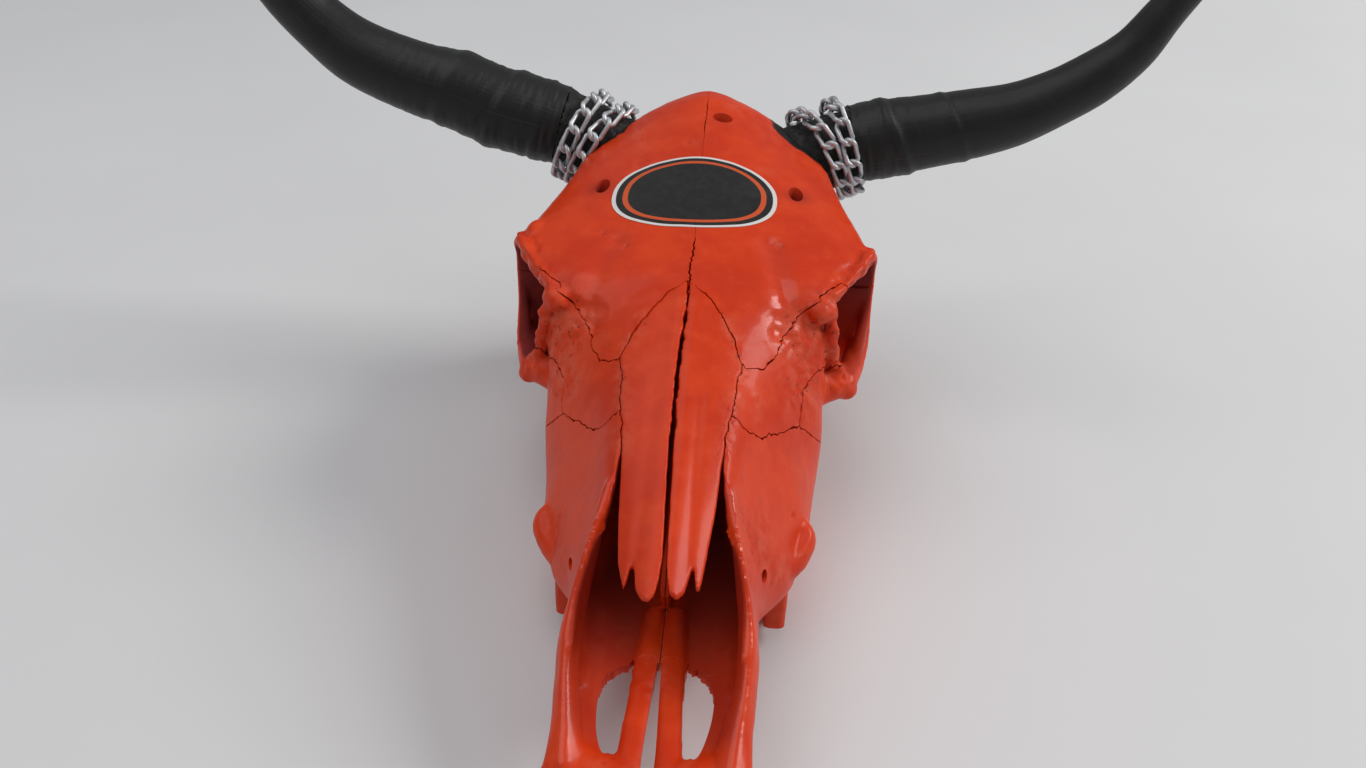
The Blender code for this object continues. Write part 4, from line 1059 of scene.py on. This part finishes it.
def thin_coat_and_painted_shade_at(points, normals):
    """1 on the walls of the eye sockets, the nose and the palate, where a thinner coat and painted shade
    darken the red.
    """
    folded, turned = points.copy(), normals.copy()
    left = points[:, 0] < 0
    folded[left, 0] *= -1
    turned[left, 0] *= -1
    socket = facing(folded, turned, [(92, 26, 136), (46, 46, 122)], 43)
    # On the right the painted shade fades towards the bottom of the socket; on the left it stays full.
    socket *= np.where(left, 1, 0.4 + 0.6 * np.clip((points[:, 2] - 112) / 30, 0, 1))
    nose = facing(folded, turned, [(0, -236, 60), (0, -150, 76), (0, -60, 100)], 52)
    nose *= np.clip((folded[:, 0] - 12) / 6 + np.clip((points[:, 1] + 185) / 20, 0, 1), 0, 1)
    nose *= 0.35 + 0.45 * np.clip((points[:, 1] + 190) / 70, 0, 1)
    # The brow holes and the poll hole get painted shade too.
    holes = 1.4 * near_points(folded, [(63, 91, 178)], 8) + 1.4 * near_points(points, [(9, 161, 201)], 6)
    return np.clip(np.max([socket, nose * np.clip((points[:, 1] + 238) / 10, 0, 1), holes], axis=0), 0, 1)


def wet_at(points):
    """1 along the brow grooves and the muzzle's crests, where the paint is thickest and shines most."""
    folded = np.column_stack([np.abs(points[:, 0]), points[:, 1:]])
    grooves = [(0.7 + 0.3 * side) * near_path(points, path, 9) for side, (path, _) in BROW_GROOVE.items()]
    return np.clip(np.max(grooves + [0.8 * near_path(folded, MUZZLE_CREST, 3.5)], axis=0), 0, 1)


print("half black at", SOOT_EDGE, "mm from the horns' root lines")

# %% [markdown]
# Every finished piece is placed the same way. It stays inside the frame's box, it is shaded
# smooth but for its sharp edges, and it rides on the root body, in the place of its own solid.

# %% Painting the bones
def into_place(piece, look, node=None, angle=38):
    """Keeps the piece inside the frame's box, shades it smooth between sharp edges and attaches it to the
    root body.
    """
    mesh = piece.data
    points = np.empty(3 * len(mesh.vertices))
    mesh.vertices.foreach_get("co", points)
    points = np.clip(points.reshape(-1, 3), np.array(frame_low), np.array(frame_high))
    mesh.vertices.foreach_set("co", points.ravel())
    mesh.shade_smooth()
    mesh.set_sharp_from_angle(angle=math.radians(angle))
    mesh.materials.clear()
    mesh.materials.append(look)
    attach(piece, "root")
    if node:
        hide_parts(node)


paint = red_paint()
for piece in bones:
    node = piece.name.removesuffix("_bone")
    points, normals = points_of(piece)
    set_attribute(piece.data, "rough", roughness_at(points))
    # inside holds the painted shade and thin coat of the hollows.
    set_attribute(piece.data, "inside", thin_coat_and_painted_shade_at(points, normals))
    set_attribute(piece.data, "soot", soot_at(points))
    set_attribute(piece.data, "wet", wet_at(points))
    into_place(piece, paint, node)
print("painted", len(bones), "bones,", sum(len(piece.data.polygons) for piece in bones), "faces")

# %% [markdown]
# A horn is a sheath of keratin over a bony core. Its surface is one function of two parameters, the
# way along the horn and the angle round it: the radius shrinks to the tip, swells into a ring where
# growth stopped each winter, and wavers a little with both.

# %% Horn sheaths
SHEATH = {
    "left": [(-107, 190, 188.7, 58), (-122, 190, 192.8, 60), (-157, 190, 202, 59.5), (-181, 190, 212, 58),
             (-204, 190, 218, 54), (-230, 190, 227, 51), (-253, 190, 238, 48), (-275, 190, 256, 43),
             (-297, 188, 282, 39), (-315, 184, 315, 33), (-327, 178, 350, 25), (-333, 170, 385, 15),
             (-334, 164, 412, 3)],
    "right": [(107, 190, 183.9, 56.5), (122, 190, 187.2, 58), (157, 190, 195, 53.5), (188, 190, 202, 50.5),
              (216, 190, 210, 46), (241, 190, 222, 41), (267, 190, 239, 38), (286, 190, 257, 33),
              (301, 190, 282, 28), (318, 188, 312, 24), (330, 184, 345, 18), (336, 178, 378, 11),
              (338, 172, 400, 2.5)],
}
GROWTH_RINGS = {"left": [(14, 0.7, 5, 2), (43, 1.3, 6, 8), (83, 1.0, 6, 5)],
                "right": [(29, 1.3, 5, 7), (70, 0.7, 4, 6)]}


def sheath(side, count=520, around=96):
    """Centre(s) + radius(s, a) * (cos a * level + sin a * third), with rings as bumps exp(-((s - c) / w)^2).

    A ring leans: its c is less where the direction points up and back."""
    table = np.asarray(SHEATH[side], float)
    way = np.r_[0, np.cumsum(np.linalg.norm(np.diff(table[:, :3], axis=0), axis=1))]
    at = way[-1] * np.linspace(0, 1, count) ** 1.25
    rows = smooth(np.column_stack([way, table]), at)
    ahead = np.gradient(rows[:, :3], at, axis=0)
    ahead /= np.linalg.norm(ahead, axis=1)[:, None]
    level = np.cross(ahead, (0, 1, 0))
    level /= np.linalg.norm(level, axis=1)[:, None]
    third = np.cross(level, ahead)
    angle = np.linspace(0, 2 * math.pi, around, endpoint=False)[None]
    turn = np.stack(np.broadcast_arrays(np.cos(angle), np.sin(angle), at[:, None] / 60), -1)
    drift = 1.6 * noise(turn.reshape(-1, 3) * 10, 12, 103).reshape(turn.shape[:2])
    fine = noise((turn * (7, 7, 60)).reshape(-1, 3), 2.9, 105).reshape(turn.shape[:2])
    uneven = noise((turn * (20, 20, 60)).reshape(-1, 3), 17, 107).reshape(turn.shape[:2])
    fade = np.clip(1.1 - at / (150 if side == "left" else 60), 0.08, 1)[:, None]
    out = np.cos(angle)[..., None] * level[:, None] + np.sin(angle)[..., None] * third[:, None]
    upper = out @ (0, 0.56, 0.83)
    rings = 0
    for c, height, width, lean in GROWTH_RINGS[side]:
        from_ring = at[:, None] + drift - c + lean * upper
        rings = rings + height * np.exp(-(from_ring / np.where(from_ring > 0, 0.5 * width, width)) ** 2)
        rings = rings - 0.3 * height * np.exp(-((from_ring - 1.2 * width) / 2.2) ** 2)
    radius = rows[:, 3:4] / 2 - 0.8 + rings + fade * 0.48 * fine
    radius = radius * (1 + 0.010 * uneven)
    horn = skin(f"horn_{side}_sheath", rows[:, None, :3] + out * np.maximum(radius, 0.3)[..., None])
    return horn, (turn * (30, 30, 1)).reshape(-1, 3), np.repeat(at / way[-1], around)


horns = {side: sheath(side) for side in SIDES}
print("horn lengths run over", [round(horn.dimensions.x / MM) for horn, _, _ in horns.values()], "mm across")

# %% [markdown]
# The horn's black paint shows the fibres below as fine lengthwise streaks. Noise that is stretched
# along the horn gives them, and for that each point keeps a place of its own: its direction round the
# horn, and its way along it.

# %% Black horn
def horn_black():
    recipe = Recipe("black_horn", {"IOR": 1.5, "Specular IOR Level": 0.35, "Coat Weight": 0.06,
                                   "Coat Roughness": 0.2})
    fibre, where = recipe.attribute("fibre", 1), recipe.place()
    tip = recipe.attribute("tip")
    streaks = recipe.noise(fibre, 0.55, 5, 0.65)
    threads = recipe.noise(fibre, 1.9, 3, 0.6)
    cloudy = recipe.noise(where, 60, 4, 0.6)
    worn = recipe.step(streaks, 0.58, 0.74) * (0.35 + cloudy * 0.5)
    colour = recipe.blend(worn, (0.0045, 0.0042, 0.0042, 1), (0.040, 0.039, 0.040, 1))
    colour = recipe.blend(tip * recipe.step(cloudy, 0.35, 0.7) * 0.5, colour, (0.045, 0.040, 0.036, 1))
    shine = 0.30 + streaks * 0.22 + cloudy * 0.12 - tip * 0.08
    return recipe.finish(colour, shine, streaks * 0.28 + threads * 0.12 + cloudy * 0.2)


horn_look = horn_black()
for side, (horn, fibre, share) in horns.items():
    kept = horn.data.attributes.new("fibre", "FLOAT_VECTOR", "POINT")
    kept.data.foreach_set("vector", fibre.astype(np.float32).ravel())
    set_attribute(horn.data, "tip", share**2)
    into_place(horn, horn_look, f"horn_{side}", angle=60)
print("horns:", [horn.name for horn, _, _ in horns.values()])

# %% [markdown]
# Between the skull and the sheath shows the foot of the horn, a rough stump of bone and horn that was
# sprayed black with the rest. It is a thick rod, pushed in along its normals by lumpy noise.

# %% Feet of the horns
FOOT_LONGER, FOOT_STANDS_OUT = 9, 0.12


def horn_foot(side):
    """The rod, ended in the plane of the sheath's open end, remeshed finely and made lumpy."""
    first, second = np.asarray(SHEATH[side], float)[:2, :3]
    ahead = (second - first) / np.linalg.norm(second - first)
    level = np.cross(ahead, (0, 1, 0))
    square = [(1, 1), (-1, 1), (-1, -1), (1, -1)]
    corners = [first + 45 * (a * level + b * np.cross(level, ahead)) for a, b in square]
    rod = horn_root(f"horn_core_{side}_foot", side, longer=FOOT_LONGER)
    foot = combine(rod, block(corners, ahead, -FOOT_STANDS_OUT, 40))
    voxel_fuse(foot, 1.3)
    points, normals = points_of(foot)
    way = (points - first) @ ahead
    lumps = 1.1 * noise(points, 9, 111) + 0.8 * noise(points, 4.2, 113) - 1.1
    free, flat = np.clip((-1.5 - way) / 6, 0, 1), np.abs(normals @ ahead) > 0.7
    flare = np.where(flat, 0, 1.1 * np.exp(np.minimum(way, 0) / 5))
    set_points(foot, points + normals * (lumps * free + flare)[:, None])
    return foot


def foot_black():
    recipe = Recipe("black_horn_foot", {"IOR": 1.5, "Specular IOR Level": 0.3})
    where = recipe.place()
    lumps, grain = recipe.noise(where, 160, 4, 0.65), recipe.noise(where, 620, 3, 0.6)
    colour = recipe.blend(recipe.step(lumps, 0.45, 0.7), (0.007, 0.0065, 0.006, 1), (0.03, 0.027, 0.025, 1))
    return recipe.finish(colour, 0.48 + grain * 0.25, lumps * 0.9 + grain * 0.35)


foot_look = foot_black()
for side in SIDES:
    foot = horn_foot(side)
    into_place(foot, foot_look, f"horn_core_{side}", angle=60)
print("feet done")

# %% [markdown]
# Each chain goes twice round a horn's foot. A link is round wire along a loop of two straight sides
# and two half circles. The loop is twisted by a quarter turn from one end to the other, so that all
# links lie alike and still pass squarely through each other. First comes the line that they follow.

# %% The winding of the chains
WINDING = {
    "left": [(0, 30), (90, 16), (158, 16), (195, 21), (223, 26), (248, 29), (278, 31.5), (332, 33),
             (360, 34.5), (450, 36), (520, 36), (560, 40), (600, 42), (640, 43), (692, 42.5), (720, 42)],
    "right": [(0, 26), (90, 18), (159, 19), (189, 25), (215, 31), (241, 35), (270, 37), (315, 38),
              (360, 39.5), (450, 41.5), (519, 44), (560, 46.5), (600, 47.5), (660, 47.5), (720, 46)],
}
CHAIN_RADIUS, LINKS, LINK_WIDTH, WIRE = 32.8, 29, 12.5, 3.5
PLAY, WALK = 0.12, 2000


def winding(side, count):
    """Points along the winding: root line + radius * (cos(turn) * rise + sin(turn) * front)."""
    start, end = np.asarray(ROOT[side], float)[[0, -1]]
    ahead = (end - start) / np.linalg.norm(end - start)
    rise = np.array([0, 0, 1]) - ahead * ahead[2]
    rise /= np.linalg.norm(rise)
    front = np.array([0, -1, 0]) + ahead * ahead[1]
    front /= np.linalg.norm(front)
    angle = np.linspace(0, 720, WALK)
    turn = np.radians(angle - 180)[:, None]
    middle = start + ahead * smooth(WINDING[side], angle)
    path = middle + CHAIN_RADIUS * (np.cos(turn) * rise + np.sin(turn) * front)
    way = np.r_[0, np.cumsum(np.linalg.norm(np.diff(path, axis=0), axis=1))]
    pick = np.searchsorted(way, np.linspace(0, way[-1], count)).clip(0, WALK - 1)
    return path[pick], middle[pick]


print("winding of the left chain starts at", winding("left", 2)[0][0].round(1))

# %% [markdown]
# All links of a chain are one array: for each link a loop of points, and round each of those a ring
# of wire. A steel link reflects its surroundings, and a dull zinc coat blurs them.

# %% Links and zinc
def links(side, ends=16, around=14):
    """All links at once. A loop point is centre + u * ahead + v * wide, and wide turns by 45 degrees
    * u / reach. Round it lies the wire: point + wire / 2 * (cos(b) * out - sin(b) * across)."""
    path, middle = winding(side, LINKS)
    pitch = np.linalg.norm(np.diff(path, axis=0), axis=1).mean()
    ahead = path[np.minimum(np.arange(LINKS) + 1, LINKS - 1)] - path[np.maximum(np.arange(LINKS) - 1, 0)]
    ahead = (ahead / np.linalg.norm(ahead, axis=1)[:, None])[:, None]
    away = (path - middle)[:, None]
    away = away - ahead * np.sum(away * ahead, axis=2)[..., None]
    away /= np.linalg.norm(away, axis=2)[..., None]
    half, bend = (pitch + 2 * WIRE - PLAY - LINK_WIDTH) / 2, (LINK_WIDTH - WIRE) / 2
    turn = np.linspace(-math.pi / 2, math.pi / 2, ends)
    turn = np.r_[turn, turn + math.pi]
    u = bend * np.cos(turn) + np.repeat([half, -half], ends)
    jitter = np.random.default_rng(121).uniform(-14, 14, LINKS)
    lean = np.radians(45 * u / (half + bend) + jitter[:, None])[..., None]
    wide = np.cos(lean) * np.cross(ahead, away) + np.sin(lean) * away
    loop = path[:, None] + u[:, None] * ahead + bend * np.sin(turn)[:, None] * wide
    along_wire = np.roll(loop, -1, axis=1) - np.roll(loop, 1, axis=1)
    across = np.cross(along_wire, np.cos(turn)[:, None] * ahead + np.sin(turn)[:, None] * wide)
    across /= np.linalg.norm(across, axis=2)[..., None]
    out = np.cross(across, along_wire)
    out /= np.linalg.norm(out, axis=2)[..., None]
    section = np.linspace(0, 2 * math.pi, around, endpoint=False)[:, None]
    wire = np.cos(section) * out[:, :, None] - np.sin(section) * across[:, :, None]
    points = loop[:, :, None] + WIRE / 2 * wire
    one = ring_faces(2 * ends, around, closed=True)
    faces = (one[None] + (np.arange(LINKS) * 2 * ends * around)[:, None, None]).reshape(-1, 4)
    return mesh_object(f"chain_{side}_links", points.reshape(-1, 3), faces.tolist())


def zinc():
    recipe = Recipe("zinc_plated_steel", {"Metallic": 0.8})
    where = recipe.place()
    cloudy, grain = recipe.noise(where, 140, 3, 0.6), recipe.noise(where, 1100, 2)
    colour = recipe.blend(recipe.step(cloudy, 0.35, 0.68), (0.46, 0.47, 0.49, 1), (0.66, 0.67, 0.69, 1))
    return recipe.finish(colour, 0.36 + cloudy * 0.16 + grain * 0.06, cloudy * 0.12 + grain * 0.02)


zinc_look = zinc()
for side in SIDES:
    into_place(links(side), zinc_look, f"chain_{side}", angle=70)
print("chains:", LINKS, "links each")

# %% [markdown]
# The sticker is a plain oval of thin vinyl: a pale rim, a dark field and an orange line. A flat oval
# of rings is dropped onto the copy of the whole skull by Shrinkwrap, and Solidify gives it thickness.
# Each point keeps how far out it lies, which is 1 on the rim, so the pattern follows the oval's edge.

# %% Forehead sticker
STICKER_MIDDLE, STICKER_HALVES, STICKER_THICKNESS, GLUE = (-2, 77), (53, 37), 0.22, 0.12


def sticker(around=144):
    """Rings of a superellipse: x = a r |cos|^0.85, y = b r |sin|^0.85, with r from 0.02 to 1."""
    radius = np.r_[np.linspace(0.02, 0.94, 44), 0.96, 0.98, 1.0]
    angle = np.linspace(0, 2 * math.pi, around, endpoint=False)
    curve = np.column_stack([np.cos(angle), np.sin(angle)])
    curve = np.sign(curve) * np.abs(curve) ** 0.85 * STICKER_HALVES
    flat = np.array(STICKER_MIDDLE) + radius[:, None, None] * curve[None]
    rings = np.dstack([flat, np.full(flat.shape[:2], 230.0)])
    faces = ring_faces(len(radius), around).tolist() + [list(range(around))]
    made = mesh_object("forehead_sticker", rings.reshape(-1, 3), faces)
    set_attribute(made.data, "rim", np.repeat(radius, around))
    drop = made.modifiers.new("drop", "SHRINKWRAP")
    drop.target, drop.wrap_method, drop.offset = whole_skull, "PROJECT", GLUE * MM
    drop.use_project_z, drop.use_positive_direction, drop.use_negative_direction = True, False, True
    applied(made)
    relax(made, 0.5, 2)
    thick = made.modifiers.new("thick", "SOLIDIFY")
    thick.thickness, thick.offset = STICKER_THICKNESS * MM, 1
    return applied(made)


def vinyl():
    recipe = Recipe("printed_vinyl", {"IOR": 1.45, "Specular IOR Level": 0.35, "Coat Weight": 0.15,
                                      "Coat Roughness": 0.12})
    rim, where = recipe.attribute("rim"), recipe.place()
    scuffs = recipe.noise(where, 210, 4, 0.65)
    pale = recipe.step(rim, 0.945, 0.95)
    line = recipe.step(rim, 0.80, 0.805) * (1 - recipe.step(rim, 0.865, 0.87))
    field = recipe.blend(recipe.step(scuffs, 0.4, 0.75), (0.011, 0.010, 0.010, 1), (0.02, 0.018, 0.018, 1))
    colour = recipe.blend(line, field, (0.62, 0.085, 0.018, 1))
    colour = recipe.blend(pale, colour, (0.72, 0.70, 0.68, 1))
    return recipe.finish(colour, 0.26 + scuffs * 0.14, scuffs * 0.05)


forehead_sticker = sticker()
bpy.data.objects.remove(whole_skull)
into_place(forehead_sticker, vinyl(), angle=60)
print("sticker:", [round(v / MM) for v in forehead_sticker.dimensions], "mm")

# %% [markdown]
# The stage is a plain pale floor, a little uneven in tone as a painted one is. It is not attached
# to the root body, so it is no piece of the skull.

# %% Floor
def floor_look():
    recipe = Recipe("pale_floor", {"IOR": 1.45})
    where = recipe.place()
    cloudy = recipe.noise(where, 3, 4, 0.55)
    colour = recipe.blend(cloudy, (0.66, 0.66, 0.665, 1), (0.72, 0.72, 0.725, 1))
    return recipe.finish(colour, 0.62 + cloudy * 0.1, cloudy * 0.2)


floor_mesh = bpy.data.meshes.new("floor")
floor_mesh.from_pydata([(-8, -8, 0), (8, -8, 0), (8, 8, 0), (-8, 8, 0)], [], [(0, 1, 2, 3)])
floor = bpy.data.objects.new("floor", floor_mesh)
bpy.context.scene.collection.objects.link(floor)
floor_mesh.materials.append(floor_look())
print("floor:", floor.name)

# %% [markdown]
# Two square lights do: a smaller one to the side for the highlights and a shadow, and a broad one
# above. The camera stands where the photographer stood, turned by three measured directions.

# %% Light and camera
def soft_light(name, place, aim, size, power, colour):
    """A square light of a size in metres and a power in watts, turned to what it lights."""
    data = bpy.data.lights.new(name, "AREA")
    data.shape, data.size = "SQUARE", size
    data.energy, data.color = power, colour
    light = bpy.data.objects.new(name, data)
    bpy.context.scene.collection.objects.link(light)
    light.location = place
    light.rotation_euler = (Vector(aim) - Vector(place)).to_track_quat("-Z", "Y").to_euler()


soft_light("window", (3.2, 0.7, 2.7), (0, 0.1, 0.1), 1.7, 88, (1.0, 0.99, 0.97))
soft_light("above", (-1.2, -0.3, 4.2), (0, 0, 0.1), 4.0, 68, (0.99, 0.99, 1.0))
world = bpy.data.worlds.new("pale_room")
world.use_nodes = True
world.node_tree.nodes["Background"].inputs["Color"].default_value = (0.92, 0.94, 0.97, 1)
world.node_tree.nodes["Background"].inputs["Strength"].default_value = 0.34
bpy.context.scene.world = world

camera_data = bpy.data.cameras.new("camera")
camera_data.lens, camera_data.sensor_width, camera_data.clip_start = 26.53, 36, 0.01
camera = bpy.data.objects.new("camera", camera_data)
bpy.context.scene.collection.objects.link(camera)
right, down = Vector((0.9972, 0.074, 0.0138)), Vector((0.0533, -0.5644, -0.8238))
forward = Vector((-0.053, 0.822, -0.567))
turn = Matrix((right, -down, -forward)).transposed()
camera.matrix_world = Matrix.Translation((0.0310, -0.5018, 0.4535)) @ turn.to_4x4()
bpy.context.scene.camera = camera
bpy.context.scene.view_settings.view_transform = "Standard"
print("camera at", [round(v, 3) for v in camera.location])
